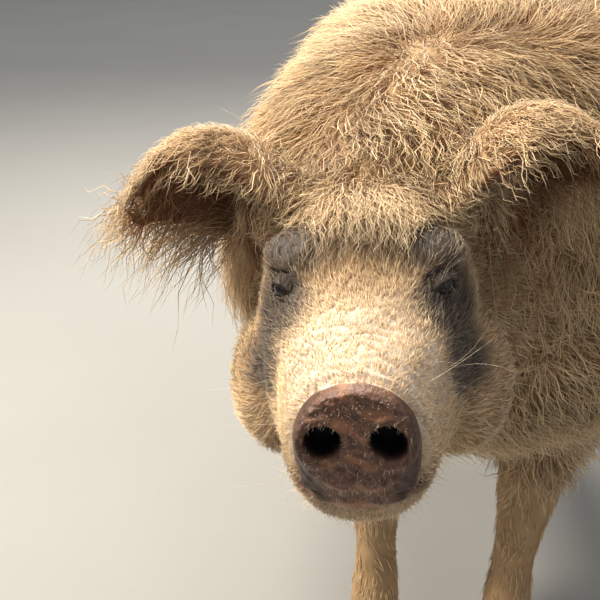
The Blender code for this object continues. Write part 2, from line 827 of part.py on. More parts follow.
def largest_surface(target):
    """Keep only the closed surface that holds the most volume."""
    bm = next(found for found in (merged(target.data, s) for s in SLIVERS) if found)
    left = set(bm.faces)
    best, best_volume = [], 0.0
    while left:
        first = left.pop()
        shell, edge_of = [first], [first]
        while edge_of:
            face = edge_of.pop()
            for edge in (edge for edge in face.edges if len(edge.link_faces) == 2):
                for other in edge.link_faces:
                    if other in left:
                        left.remove(other)
                        shell.append(other)
                        edge_of.append(other)
        volume = 0.0
        for face in shell:
            a = face.verts[0].co
            for b, c in zip(face.verts[1:], face.verts[2:]):
                volume += a.dot(b.co.cross(c.co)) / 6.0
        if volume > best_volume:
            best, best_volume = shell, volume
    keep = set(best)
    bmesh.ops.delete(bm, geom=[f for f in bm.faces if f not in keep], context="FACES")
    bmesh.ops.delete(bm, geom=[v for v in bm.verts if not v.link_faces], context="VERTS")
    bmesh.ops.triangulate(bm, faces=bm.faces[:])
    bm.to_mesh(target.data)
    bm.free()


def paint(target, colour, roughness):
    """Give an object its own Principled material."""
    material = bpy.data.materials.new(target.name)
    material.use_nodes = True
    shader = material.node_tree.nodes["Principled BSDF"]
    shader.inputs["Base Color"].default_value = colour
    shader.inputs["Roughness"].default_value = roughness
    shader.inputs["Metallic"].default_value = 0.0
    target.data.materials.clear()
    target.data.materials.append(material)
    material.diffuse_color = colour


def claw(name, x, y, side, toe_in, collection):
    """One half of a cloven hoof, flat below and above."""
    bm = bmesh.new()
    rings = []
    for z, grow, shift in ((0.0, 1.0, -0.006), (0.022, 0.97, 0.0), (HOOF_HEIGHT, 0.80, 0.010)):
        ring = []
        for k in range(12):
            turn = 2.0 * math.pi * k / 12
            wide = math.cos(turn) * 0.5 * CLAW_WIDTH * grow
            long = math.sin(turn) * 0.5 * HOOF_LENGTH * grow
            narrow = 1.0 - 0.30 * blend(-long, 0.0, 0.5 * HOOF_LENGTH)
            outer = 0.5 * CLAW_WIDTH + 0.5 * CLEFT
            ring.append(Vector((x + toe_in * (outer + max(wide * narrow, -0.46 * CLAW_WIDTH)),
                                y + shift + long, z)))
        rings.append(ring)
    skin_rings(bm, rings)
    bmesh.ops.triangulate(bm, faces=bm.faces[:])
    return from_bmesh(name, bm, collection)


def dewclaw(name, x, y, z, collection):
    """A small blunt horn behind the fetlock."""
    bm = bmesh.new()
    rings = []
    for t, radius in ((0.0, 0.0100), (0.5, 0.0095), (1.0, 0.0045)):
        middle = Vector((x, y + 0.030 * t, z - 0.016 * t))
        rings.append([middle + Vector((math.cos(a) * radius, 0.0, math.sin(a) * radius))
                      for a in (2.0 * math.pi * k / 8 for k in range(8))])
    skin_rings(bm, rings)
    bmesh.ops.triangulate(bm, faces=bm.faces[:])
    return from_bmesh(name, bm, collection)


NECK_PLANE = Matrix.Translation((0.0, -0.225, 0.65)) @ Matrix.Rotation(math.radians(-24.0), 4, "X")
HEAD_BOX = ((-0.50, -0.30, -0.30), (0.50, 0.370, 0.34))
DISC_BOX = ((-0.10, -0.05, -0.058), (0.10, 0.0185, 0.10))
TAIL_BOX = ((-0.045, 0.655, 0.34), (0.085, 0.90, 0.735))
EAR_INNER, EAR_LOW, EAR_HIGH = 0.120, (0.120, 0.004), (0.368, 0.33)
LEG_BOXES = {
    "front": ((0.032, -0.345, -0.05), (0.33, -0.02, 0.400)),
    "hind": ((0.032, 0.225, -0.05), (0.33, 0.700, 0.440)),
}


def take(source, name, region, collection, tools):
    """The part of a body inside a region box, as its own object."""
    piece = copy_of(source, name, collection)
    combine(piece, box("region", *region, tools), "INTERSECT")
    return piece


def part_body(skin, pig, tools):
    """Cut the fused pig into its named pieces, GAP apart."""
    still = Matrix.Identity(4)
    front_low, front_high = (-2.0, -2.0, -2.0), (2.0, 0.0, 2.0)
    pieces = {}
    torso = copy_of(skin, "torso", pig)
    combine(torso, box("front", front_low, front_high, NECK_PLANE, tools, GAP), "DIFFERENCE")
    for place, (low, high) in LEG_BOXES.items():
        for label, side in (("left", 1.0), ("right", -1.0)):
            xs = sorted((low[0] * side, high[0] * side))
            region = ((xs[0], low[1], low[2]), (xs[1], high[1], high[2]), still)
            leg = take(skin, f"leg_{place}_{label}", region, pig, tools)
            below = box("below", (-2, -2, -2), (2, 2, HOOF_HEIGHT + GAP), still, tools)
            combine(leg, below, "DIFFERENCE")
            pieces[leg.name] = leg
            combine(torso, box("cut", *region, tools, GAP), "DIFFERENCE")
    pieces["tail"] = take(skin, "tail", (*TAIL_BOX, still), pig, tools)
    combine(torso, box("cut", *TAIL_BOX, still, tools, GAP), "DIFFERENCE")
    pieces["torso"] = torso
    neck = take(skin, "neck", (front_low, front_high, NECK_PLANE), pig, tools)
    head_pad = GAP / HEAD_SIZE
    combine(neck, box("cut", *HEAD_BOX, HEAD, tools, head_pad), "DIFFERENCE")
    for side in (1.0, -1.0):
        low, high = LEG_BOXES["front"]
        xs = sorted((low[0] * side, high[0] * side))
        combine(neck, box("cut", (xs[0], *low[1:]), (xs[1], *high[1:]), still, tools, GAP), "DIFFERENCE")
    pieces["neck"] = neck
    head = take(skin, "head", (*HEAD_BOX, HEAD), pig, tools)
    for label, side in (("left", 1.0), ("right", -1.0)):
        xs = sorted((EAR_INNER * side, 0.48 * side))
        region = ((xs[0], *EAR_LOW), (xs[1], *EAR_HIGH), HEAD)
        pieces[f"ear_{label}"] = take(skin, f"ear_{label}", region, pig, tools)
        combine(head, box("cut", *region, tools, head_pad), "DIFFERENCE")
    pieces["snout_disc"] = take(skin, "snout_disc", (*DISC_BOX, HEAD), pig, tools)
    combine(head, box("cut", *DISC_BOX, HEAD, tools, head_pad), "DIFFERENCE")
    pieces["head"] = head
    return pieces


def main():
    """Build the pig's pieces."""
    clear_scene()
    scene = bpy.context.scene
    pig = bpy.data.collections.new("mangalica_pig")
    tools = bpy.data.collections.new("cutters")
    locks = bpy.data.collections.new("locks")
    for collection in (pig, tools, locks):
        scene.collection.children.link(collection)
    skin = make_skin(pig, SKIN_VOXEL, BODY_TRIANGLES, HEAD_TRIANGLES)
    surface = Surface(skin)

    line = mouth_line(surface)
    eyes = {}
    for label, side in (("left", 1.0), ("right", -1.0)):
        eyes[label] = eye_place(surface, side)
        lid(*eyes[label], 1.0, 0.0052, locks)
        lid(*eyes[label], -0.85, 0.0042, locks)
        make_ear(side, locks)
    lip(line, 0.0075, 0.0085, locks)
    lip(line, -0.0075, 0.0085, locks)
    combine(skin, locks, "UNION")
    combine(skin, mouth_cutter(line, tools), "DIFFERENCE")
    for label, side in (("left", 1.0), ("right", -1.0)):
        combine(skin, nostril_cutter(side, tools), "DIFFERENCE")
        middle, _ = eyes[label]
        size = EYE_RADIUS * HEAD_SIZE + GAP * 1.5
        combine(skin, ball("socket", middle, (size,) * 3, tools), "DIFFERENCE")
    largest_surface(skin)

    body_locks(surface, skin, locks)
    for side in (1.0, -1.0):
        ear_fringe(side, locks)
    tail_tassel(locks)
    combine(skin, locks, "UNION")
    largest_surface(skin)

    pieces = part_body(skin, pig, tools)
    bpy.data.objects.remove(skin, do_unlink=True)
    for label, (middle, _) in eyes.items():
        size = EYE_RADIUS * HEAD_SIZE
        pieces[f"eye_{label}"] = ball(f"eye_{label}", middle, (size,) * 3, pig)
    for place, rows in (("front", FORELEG), ("hind", HINDLEG)):
        foot = rows[-1]
        for label, side in (("left", 1.0), ("right", -1.0)):
            x, y = foot[0] * side, foot[1] + FOOT_SHIFT
            leg = pieces[f"leg_{place}_{label}"]
            for inner, way in (("outer", side), ("inner", -side)):
                name = f"hoof_{place}_{label}_{inner}"
                pieces[name] = claw(name, x, y, side, way, pig)
                name = f"dewclaw_{place}_{label}_{inner}"
                horn = dewclaw(name, x + way * DEWCLAW_SIDE, foot[1] + DEWCLAW_BACK, DEWCLAW_HEIGHT, pig)
                inflated = copy_of(leg, "inflated", tools)
                thicken(inflated, lambda point: GAP * 1.6)
                combine(horn, inflated, "DIFFERENCE")
                pieces[name] = horn
    for name, piece in pieces.items():
        largest_surface(piece)
        paint(piece, *LOOKS.get(name.split("_")[0], COAT_LOOK))
        piece.data.transform(Matrix.Translation(-GROUND_MIDDLE))


if __name__ == "__main__":
    main()
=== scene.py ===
"""The dressed mangalica pig: one melted skin, its coat of solid tufts, eyes, hooves and the studio."""

import logging
import math
from dataclasses import dataclass
from enum import Enum
from typing import Callable, Sequence

import bmesh
import bpy
import numpy as np
from mathutils import Matrix, Vector
from mathutils.bvhtree import BVHTree


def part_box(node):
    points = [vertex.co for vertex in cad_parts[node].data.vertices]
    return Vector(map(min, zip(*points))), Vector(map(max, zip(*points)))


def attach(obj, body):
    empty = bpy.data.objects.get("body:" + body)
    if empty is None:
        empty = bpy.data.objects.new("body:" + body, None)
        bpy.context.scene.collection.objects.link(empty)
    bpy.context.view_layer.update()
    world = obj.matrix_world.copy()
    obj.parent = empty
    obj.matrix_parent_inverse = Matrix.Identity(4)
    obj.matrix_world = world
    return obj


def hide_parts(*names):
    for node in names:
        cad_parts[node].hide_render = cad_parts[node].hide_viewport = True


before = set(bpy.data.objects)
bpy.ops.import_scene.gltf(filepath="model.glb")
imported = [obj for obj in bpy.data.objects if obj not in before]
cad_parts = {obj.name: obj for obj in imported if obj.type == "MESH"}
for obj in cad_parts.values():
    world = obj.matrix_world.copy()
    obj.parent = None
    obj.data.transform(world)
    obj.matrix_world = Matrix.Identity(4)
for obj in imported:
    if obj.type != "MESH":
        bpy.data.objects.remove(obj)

log = logging.getLogger("mangalica")
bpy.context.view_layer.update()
SEED = 11

# The middle of the pig's outline on the ground in the modelling frame. Each finished mesh moves back by it.
GROUND_MIDDLE = Vector((-0.0309, 0.0332, 0.0))

Array = np.ndarray


@dataclass(frozen=True)
class HeadPlace:
    """Where the head is: the snout disc's middle, the head's turns and its size."""

    disc_middle: tuple[float, float, float] = (-0.085, -0.655, 0.630)
    turn_deg: float = 3.0
    tip_deg: float = 4.0
    size: float = 0.81

    @property
    def spin(self) -> Matrix:
        """The head's rotation alone."""
        turn = Matrix.Rotation(math.radians(self.turn_deg), 4, "Z")
        return turn @ Matrix.Rotation(-math.radians(self.tip_deg), 4, "Y")

    @property
    def matrix(self) -> Matrix:
        """From the head's own frame to the modelling frame."""
        return Matrix.Translation(Vector(self.disc_middle)) @ self.spin @ Matrix.Scale(self.size, 4)

    def local(self, points: Array) -> Array:
        """Points of the scene in the head's own frame.

        Args:
            points: An array of points, one a row.

        Returns:
            The same points before the head's turns, size and place.
        """
        back = np.array(self.matrix.inverted())
        return points @ back[:3, :3].T + back[:3, 3]

    def ways(self, local_ways: Array) -> Array:
        """Directions of the head's own frame in the scene.

        Args:
            local_ways: An array of directions, one a row.

        Returns:
            The turned directions.
        """
        return local_ways @ np.array(self.spin)[:3, :3].T

    def way(self, x: float, y: float, z: float) -> Array:
        """One direction of the head's own frame in the scene, of length 1."""
        return self.ways(unit(np.array([[x, y, z]])))[0]


HEAD = HeadPlace()


def blend(value: Array, low: float, high: float) -> Array:
    """A smooth step.

    Args:
        value: What is compared, a number or an array.
        low: Where the step starts.
        high: Where it ends.

    Returns:
        0 below low, 1 above high and smooth between.
    """
    t = np.clip((np.asarray(value, dtype=float) - low) / (high - low), 0.0, 1.0)
    return t * t * (3.0 - 2.0 * t)


def bell(value: Array, middle: Array | float, width: float) -> Array:
    """1 at the middle, falling smoothly to nothing within a few widths."""
    return np.exp(-((value - middle) / width) ** 2)


def unit(ways: Array) -> Array:
    """Rows of an array scaled to length 1."""
    return ways / np.maximum(np.linalg.norm(ways, axis=-1, keepdims=True), 1e-9)


def smooth_rows(rows: Sequence[tuple], steps: int) -> list[tuple]:
    """Read rows of numbers between their knots along a Catmull-Rom curve.

    Args:
        rows: The knots.
        steps: How many readings each stretch has.

    Returns:
        The denser rows.
    """
    out = []
    last = len(rows) - 1
    for k in range(last):
        before, start, end, after = (rows[min(max(k + d, 0), last)] for d in (-1, 0, 1, 2))
        for step in range(steps):
            t = step / steps
            out.append(tuple(
                0.5 * (2 * b + (c - a) * t + (2 * a - 5 * b + 4 * c - d) * t * t
                       + (3 * b - a - 3 * c + d) * t ** 3)
                for a, b, c, d in zip(before, start, end, after)
            ))
    out.append(rows[-1])
    return out


def linked(name: str, data: bpy.types.ID) -> bpy.types.Object:
    """A new object of the scene around its mesh, camera or light."""
    made = bpy.data.objects.new(name, data)
    bpy.context.scene.collection.objects.link(made)
    return made


def as_object(name: str, bm: bmesh.types.BMesh) -> bpy.types.Object:
    """Turn a bmesh into an object of the scene with its faces pointing out."""
    bmesh.ops.recalc_face_normals(bm, faces=bm.faces[:])
    mesh = bpy.data.meshes.new(name)
    bm.to_mesh(mesh)
    bm.free()
    return linked(name, mesh)


def loft(name: str, rings: Sequence[Sequence[Vector]]) -> bpy.types.Object:
    """An object that joins closed rings of points into a tube with flat ends."""
    bm = bmesh.new()
    loops = [[bm.verts.new(point) for point in ring] for ring in rings]
    count = len(loops[0])
    for near, far in zip(loops, loops[1:]):
        for i in range(count):
            j = (i + 1) % count
            bm.faces.new((near[i], near[j], far[j], far[i]))
    bm.faces.new(loops[0][::-1])
    bm.faces.new(loops[-1])
    return as_object(name, bm)


def oval_ring(middle: Vector, side: Vector, rise: Vector, half_width: float, top: float,
              bottom: float, count: int, power: float) -> list[Vector]:
    """Points of a rounded-square oval whose top and bottom halves have their own heights.

    Args:
        middle: The ring's middle.
        side: The unit way across.
        rise: The unit way up.
        half_width: Half the width.
        top: The height over the middle.
        bottom: The depth under the middle.
        count: How many points.
        power: 2 for an ellipse, more for a squarer ring.

    Returns:
        The points in order.
    """
    ring = []
    for i in range(count):
        turn = 2.0 * math.pi * i / count
        c, s = math.cos(turn), math.sin(turn)
        wide = math.copysign(abs(c) ** (2.0 / power), c) * half_width
        high = math.copysign(abs(s) ** (2.0 / power), s) * (top if s > 0 else bottom)
        ring.append(middle + side * wide + rise * high)
    return ring


def apply_modifiers(target: bpy.types.Object) -> None:
    """Replace an object's mesh by what its modifiers make of it, and remove them."""
    graph = bpy.context.evaluated_depsgraph_get()
    mesh = bpy.data.meshes.new_from_object(target.evaluated_get(graph))
    target.modifiers.clear()
    target.data = mesh


def join_forms(name: str, forms: Sequence[bpy.types.Object]) -> bpy.types.Object:
    """One object that holds the loose meshes of all the forms, which are removed."""
    bm = bmesh.new()
    for form in forms:
        bm.from_mesh(form.data)
    for form in forms:
        bpy.data.objects.remove(form, do_unlink=True)
    return as_object(name, bm)


def melt(target: bpy.types.Object, voxel: float, rounds: int) -> None:
    """Fuse a mesh's overlapping forms into one surface and smooth it.

    Args:
        target: The object that is changed.
        voxel: The size of the remesh grid.
        rounds: How often it is smoothed.
    """
    remesh = target.modifiers.new("melt", "REMESH")
    remesh.mode = "VOXEL"
    remesh.voxel_size = voxel
    smooth = target.modifiers.new("smooth", "SMOOTH")
    smooth.factor = 0.5
    smooth.iterations = rounds
    apply_modifiers(target)


def mesh_arrays(target: bpy.types.Object) -> tuple[Array, Array, Array]:
    """The points, point normals and triangles of an object as arrays."""
    mesh = target.data
    mesh.calc_loop_triangles()
    points = np.empty(len(mesh.vertices) * 3)
    mesh.vertices.foreach_get("co", points)
    normals = np.empty(len(mesh.vertices) * 3)
    mesh.vertices.foreach_get("normal", normals)
    corners = np.empty(len(mesh.loop_triangles) * 3, dtype=np.int64)
    mesh.loop_triangles.foreach_get("vertices", corners)
    return points.reshape(-1, 3), normals.reshape(-1, 3), corners.reshape(-1, 3)


def move_points(target: bpy.types.Object, points: Array) -> None:
    """Give an object's mesh new points."""
    target.data.vertices.foreach_set("co", points.ravel())
    target.data.update()


def point_layer(mesh: bpy.types.Mesh, label: str, values: Array) -> None:
    """Store one number for each point of a mesh, under the name that materials read."""
    layer = mesh.attributes.new(label, "FLOAT", "POINT")
    layer.data.foreach_set("value", np.ascontiguousarray(values, dtype=np.float32))


def shade_smooth(piece: bpy.types.Object) -> None:
    """Shade every face of a piece smooth."""
    piece.data.polygons.foreach_set("use_smooth", np.ones(len(piece.data.polygons), dtype=bool))


def ripple(points: Array, wavelength: float, phase: float) -> Array:
    """A soft wandering field between about -1 and 1.

    Args:
        points: Where it is read.
        wavelength: The typical distance between crests.
        phase: Which of the many such fields it is.

    Returns:
        One value for each point.
    """
    rng = np.random.default_rng(int(phase * 1000) + 5)
    total = np.zeros(len(points))
    for _ in range(5):
        way = unit(rng.normal(size=(1, 3)))[0]
        rate = 2.0 * math.pi / (wavelength * rng.uniform(0.6, 1.5))
        total += np.sin(points @ way * rate + rng.uniform(0, 6.28))
    return total / 3.0


def own_rng(key: str) -> np.random.Generator:
    """A generator of random numbers that depends only on the seed and a piece's name."""
    return np.random.default_rng([SEED, *key.encode()])


def settle(piece: bpy.types.Object, slot: str, *nodes: str) -> bpy.types.Object:
    """Move a finished mesh to the model's frame, attach it to the root and hide the CAD nodes that it
    replaces.

    Args:
        piece: The piece, made in the modelling frame.
        slot: The record's material slot that it would take its finish from; not used.
        nodes: The CAD nodes that it replaces.

    Returns:
        The piece.
    """
    piece.data.transform(Matrix.Translation(-GROUND_MIDDLE))
    piece.data.update()
    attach(piece, "root")
    if nodes:
        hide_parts(*nodes)
    log.info("%s: %d triangles", piece.name, sum(len(p.vertices) - 2 for p in piece.data.polygons))
    return piece


def triangles_object(name: str, points: Array, faces: Array, layers: dict[str, Array]) -> bpy.types.Object:
    """A smooth-shaded object from arrays of points and triangles.

    Args:
        name: The object's name.
        points: Its points.
        faces: The corners of its triangles.
        layers: Point attributes, each an array of one number a point.

    Returns:
        The object, linked to the scene.
    """
    mesh = bpy.data.meshes.new(name)
    mesh.vertices.add(len(points))
    mesh.vertices.foreach_set("co", np.ascontiguousarray(points, dtype=np.float32).ravel())
    mesh.loops.add(len(faces) * 3)
    mesh.loops.foreach_set("vertex_index", np.ascontiguousarray(faces, dtype=np.int32).ravel())
    mesh.polygons.add(len(faces))
    mesh.polygons.foreach_set("loop_start", np.arange(0, len(faces) * 3, 3, dtype=np.int32))
    mesh.polygons.foreach_set("use_smooth", np.ones(len(faces), dtype=bool))
    mesh.update(calc_edges=True)
    for label, values in layers.items():
        point_layer(mesh, label, values)
    return linked(name, mesh)


# Materials.


class Nodes:
    """A short way to build a node tree, by node type, linked inputs and set values."""

    def __init__(self, tree: bpy.types.NodeTree) -> None:
        self.tree = tree

    def fill(self, node: bpy.types.Node, inputs: dict) -> bpy.types.Node:
        """Set a node's inputs, by name or number, to values or to other nodes' outputs."""
        for label, value in inputs.items():
            socket = node.inputs[label]
            if isinstance(value, bpy.types.NodeSocket):
                self.tree.links.new(value, socket)
            else:
                socket.default_value = value
        return node

    def add(self, kind: str, inputs: dict | None = None, **settings) -> bpy.types.Node:
        """Add a node.

        Args:
            kind: The node's type, as Blender names it.
            inputs: Values or output sockets by the input's name or number.
            settings: Properties of the node itself.

        Returns:
            The node.
        """
        node = self.tree.nodes.new(kind)
        for label, value in settings.items():
            setattr(node, label, value)
        return self.fill(node, inputs or {})

    def mix(self, share, first, second):
        """The socket of two colours mixed by a share."""
        return self.add("ShaderNodeMix", {0: share, 6: first, 7: second}, data_type="RGBA").outputs[2]

    def math(self, operation: str, first, second=0.0, third=0.0, clamp: bool = False):
        """The socket of one sum."""
        inputs = {0: first, 1: second, 2: third}
        return self.add("ShaderNodeMath", inputs, operation=operation, use_clamp=clamp).outputs[0]

    def attribute(self, label: str):
        """The socket of a point attribute's number."""
        return self.add("ShaderNodeAttribute", attribute_name=label).outputs["Fac"]

    def place(self):
        """The socket of the Object coordinates."""
        return self.add("ShaderNodeTexCoord").outputs["Object"]

    def noise(self, place, scale: float, detail: float = 3.0, roughness: float = 0.55):
        """The socket of a noise's number, at a scale in crests a metre."""
        inputs = {"Vector": place, "Scale": scale, "Detail": detail, "Roughness": roughness}
        return self.add("ShaderNodeTexNoise", inputs).outputs[0]


Colour = tuple[float, float, float]


def rgba(colour: Colour) -> tuple[float, float, float, float]:
    """A colour with full cover."""
    return (*colour, 1.0)


def shader_group(name: str, inputs: Sequence[tuple[str, str, object]],
                 outputs: Sequence[tuple[str, str]]) -> tuple[Nodes, bpy.types.Node, bpy.types.Node]:
    """An empty shader node group with named sockets.

    Args:
        name: The group's name.
        inputs: Each input's name, kind ("Color", "Float" or "Vector") and standing value.
        outputs: Each output's name and kind.

    Returns:
        The group's builder, its input node and its output node.
    """
    tree = bpy.data.node_groups.new(name, "ShaderNodeTree")
    for label, kind, value in inputs:
        socket = tree.interface.new_socket(label, in_out="INPUT", socket_type=f"NodeSocket{kind}")
        socket.default_value = value
    for label, kind in outputs:
        tree.interface.new_socket(label, in_out="OUTPUT", socket_type=f"NodeSocket{kind}")
    nodes = Nodes(tree)
    return nodes, nodes.add("NodeGroupInput"), nodes.add("NodeGroupOutput")


def mottle_group() -> bpy.types.NodeTree:
    """Colour that wanders between two tones, with a height for bump: used on skin, horn and floor."""
    nodes, given, out = shader_group(
        "mottle",
        (("Vector", "Vector", (0.0, 0.0, 0.0)), ("Light", "Color", (1, 1, 1, 1)),
         ("Dark", "Color", (0, 0, 0, 1)), ("Coarse", "Float", 20.0), ("Fine", "Float", 400.0)),
        (("Color", "Color"), ("Height", "Float")),
    )
    coarse, fine = (
        nodes.add("ShaderNodeTexNoise", {"Vector": given.outputs["Vector"], "Scale": given.outputs[label],
                                         "Detail": detail}).outputs[0]
        for label, detail in (("Coarse", 4.0), ("Fine", 2.0))
    )
    share = nodes.math("MULTIPLY_ADD", coarse, 2.2, -0.6, clamp=True)
    share = nodes.math("ADD", nodes.math("MULTIPLY", share, 0.7), nodes.math("MULTIPLY", fine, 0.3))
    nodes.fill(out, {
        "Color": nodes.mix(share, given.outputs["Light"], given.outputs["Dark"]),
        "Height": nodes.math("MULTIPLY_ADD", coarse, 0.4, nodes.math("MULTIPLY", fine, 0.6)),
    })
    return nodes.tree


def mottled(nodes: Nodes, mottle: bpy.types.NodeTree, place, light: Colour, dark: Colour, coarse: float,
            fine: float) -> bpy.types.Node:
    """Add the mottle group between two tones, with the scales of its coarse and fine crests."""
    inputs = {"Vector": place, "Light": rgba(light), "Dark": rgba(dark), "Coarse": coarse, "Fine": fine}
    return nodes.add("ShaderNodeGroup", inputs, node_tree=mottle)


def hair_group() -> bpy.types.NodeTree:
    """A hair's colour from root to tip, with its own tone, a grey share, a reddish share and a lightness
    that wanders at random; its darker root and its grey and reddish shares are partly painted shade.
    """
    nodes, given, out = shader_group(
        "hair_colour",
        (("Root", "Color", (0.3, 0.2, 0.1, 1)), ("Tip", "Color", (0.9, 0.8, 0.6, 1)),
         ("Grey", "Color", (0.1, 0.1, 0.1, 1)), ("Rust And Shade", "Color", (0.5, 0.25, 0.08, 1))),
        (("Color", "Color"), ("Roughness", "Float")),
    )
    along, tone = nodes.attribute("along"), nodes.attribute("tone")
    # Darker towards the root: partly the hair's own tone, partly painted shade deep among the strands.
    strand = nodes.mix(nodes.math("POWER", along, 0.8), given.outputs["Root"], given.outputs["Tip"])
    # The reddish share, strongest at the root, is partly painted shade inside the ear cups.
    rust_and_shade_share = nodes.math("MULTIPLY", nodes.attribute("rust_and_shade"), nodes.math("SUBTRACT", 1.15, along), clamp=True)
    strand = nodes.mix(rust_and_shade_share, strand, given.outputs["Rust And Shade"])
    strand = nodes.mix(nodes.attribute("grey"), strand, given.outputs["Grey"])
    wander = nodes.noise(nodes.place(), 14.0, 3.0)
    value = nodes.math("MULTIPLY_ADD", tone, 0.80, 0.55)
    value = nodes.math("MULTIPLY", value, nodes.math("MULTIPLY_ADD", wander, 0.5, 0.75))
    shaded = nodes.add("ShaderNodeHueSaturation", {"Value": value, "Color": strand})
    nodes.fill(out, {"Color": shaded.outputs[0], "Roughness": nodes.math("MULTIPLY_ADD", tone, 0.15, 0.42)})
    return nodes.tree


@dataclass(frozen=True)
class Finish:
    """What every finish shares: its name and the shader's standing numbers."""

    name: str
    roughness: float = 0.6
    specular: float = 0.4

    def start(self) -> tuple[bpy.types.Material, Nodes, bpy.types.Node]:
        """A new material, a builder of its tree and its Principled shader."""
        material = bpy.data.materials.new(self.name)
        material.use_nodes = True
        shader = material.node_tree.nodes["Principled BSDF"]
        nodes = Nodes(material.node_tree)
        nodes.fill(shader, {"Roughness": self.roughness, "Specular IOR Level": self.specular})
        return material, nodes, shader


@dataclass(frozen=True)
class HairFinish(Finish):
    """Blond hair that is darker at its root, partly its own tone and partly painted shade deep among the
    strands.
    """

    # The root colour is partly painted shade: the shade deep in the coat laid into the hair's colour.
    root: Colour = (0.33, 0.150, 0.045)
    tip: Colour = (0.95, 0.72, 0.42)
    grey: Colour = (0.100, 0.068, 0.046)
    # Reddish brown, partly painted shade, laid on the inner side of the ear cups and at the ear hair's
    # roots.
    rust_and_shade: Colour = (0.36, 0.14, 0.035)

    def make(self, group: bpy.types.NodeTree) -> bpy.types.Material:
        """Build the material around the shared hair group."""
        material, nodes, shader = self.start()
        tones = {"Root": rgba(self.root), "Tip": rgba(self.tip), "Grey": rgba(self.grey),
                 "Rust And Shade": rgba(self.rust_and_shade)}
        hair = nodes.add("ShaderNodeGroup", tones, node_tree=group)
        nodes.fill(shader, {"Base Color": hair.outputs["Color"], "Roughness": hair.outputs["Roughness"],
                            "Sheen Weight": 0.25, "Sheen Roughness": 0.4})
        return material


@dataclass(frozen=True)
class SkinFinish(Finish):
    """The skin under the coat, with its patches of colour read from the mesh: painted shade in the
    nostrils, mouth slit and ear cups, partly painted shade in the eye patches, and partly painted light on
    the muzzle's top.
    """

    base: Colour = (0.52, 0.34, 0.17)
    base_dark: Colour = (0.30, 0.17, 0.08)
    # Pale muzzle skin, laid on more thickly on top than underneath: partly its own colour, partly painted
    # light on the lit top.
    muzzle: Colour = (0.64, 0.52, 0.40)
    # The patches' dark grey-brown: partly the skin's own colour round the eyes, partly painted shade in the
    # sunken sockets and under the forelock.
    patch: Colour = (0.052, 0.036, 0.026)
    disc: Colour = (0.27, 0.120, 0.070)
    pigment: Colour = (0.030, 0.017, 0.012)
    pink: Colour = (0.46, 0.20, 0.10)
    # Near black: painted shade inside the nostrils and the mouth slit, and a darker band at the disc's
    # sides.
    hollow: Colour = (0.006, 0.004, 0.004)
    # Dark brown on the inner side of the ear cups: painted shade under the lopped ears.
    ear: Colour = (0.20, 0.085, 0.035)

    def make(self, mottle: bpy.types.NodeTree) -> bpy.types.Material:
        """Build the material around the shared mottle group."""
        material, nodes, shader = self.start()
        place = nodes.place()
        body = mottled(nodes, mottle, place, self.base, self.base_dark, 24.0, 500.0)
        snout = mottled(nodes, mottle, place, self.disc, self.pigment, 260.0, 1300.0)
        colour = body.outputs["Color"]
        tones = {"muzzle": rgba(self.muzzle), "patch": rgba(self.patch), "ear": rgba(self.ear),
                 "disc": snout.outputs["Color"], "pink": rgba(self.pink), "hollow": rgba(self.hollow)}
        for label, tone in tones.items():
            colour = nodes.mix(nodes.attribute(label), colour, tone)
        pores = nodes.add("ShaderNodeTexVoronoi", {"Vector": place, "Scale": 620.0}).outputs["Distance"]
        height = nodes.math("MULTIPLY_ADD", pores, 0.6, snout.outputs["Height"])
        bump = nodes.add("ShaderNodeBump", {"Height": height, "Strength": 0.45, "Distance": 0.0012})
        rough = nodes.math("MULTIPLY_ADD", pores, 0.2, 0.58)
        rough = nodes.math("MULTIPLY_ADD", nodes.attribute("disc"), -0.25, rough)
        nodes.fill(shader, {"Base Color": colour, "Normal": bump.outputs[0], "Roughness": rough})
        return material


@dataclass(frozen=True)
class HornFinish(Finish):
    """Dark hoof horn, its mottle flattened into fine rings."""

    light: Colour = (0.17, 0.12, 0.085)
    dark: Colour = (0.035, 0.026, 0.022)

    def make(self, mottle: bpy.types.NodeTree) -> bpy.types.Material:
        """Build the material around the shared mottle group."""
        material, nodes, shader = self.start()
        stretched = {"Vector": nodes.place(), "Scale": (1.0, 1.0, 9.0)}
        rings = nodes.add("ShaderNodeMapping", stretched).outputs[0]
        node = mottled(nodes, mottle, rings, self.light, self.dark, 40.0, 500.0)
        height = node.outputs["Height"]
        bump = nodes.add("ShaderNodeBump", {"Height": height, "Strength": 0.5, "Distance": 0.001})
        nodes.fill(shader, {"Base Color": node.outputs["Color"], "Normal": bump.outputs[0],
                            "Roughness": nodes.math("MULTIPLY_ADD", height, 0.35, 0.32)})
        return material


@dataclass(frozen=True)
class EyeFinish(Finish):
    """A dark brown eye with a wet coat, its iris and white read from the mesh."""

    white: Colour = (0.12, 0.075, 0.055)
    iris: Colour = (0.030, 0.013, 0.007)
    pupil: Colour = (0.003, 0.003, 0.003)

    def make(self) -> bpy.types.Material:
        """Build the material from the eyeball's own ring attribute."""
        material, nodes, shader = self.start()
        ring = nodes.attribute("ring")
        flecks = nodes.noise(nodes.place(), 900.0, 2.0)
        iris = nodes.mix(nodes.math("MULTIPLY", flecks, 0.5), rgba(self.iris), rgba(self.pupil))
        colour = nodes.mix(nodes.math("GREATER_THAN", ring, 0.34), rgba(self.pupil), iris)
        edge = nodes.math("MULTIPLY", nodes.math("SUBTRACT", ring, 0.72), 8.0, clamp=True)
        colour = nodes.mix(edge, colour, rgba(self.white))
        nodes.fill(shader, {"Base Color": colour, "Coat Weight": 0.6, "Coat Roughness": 0.05})
        return material


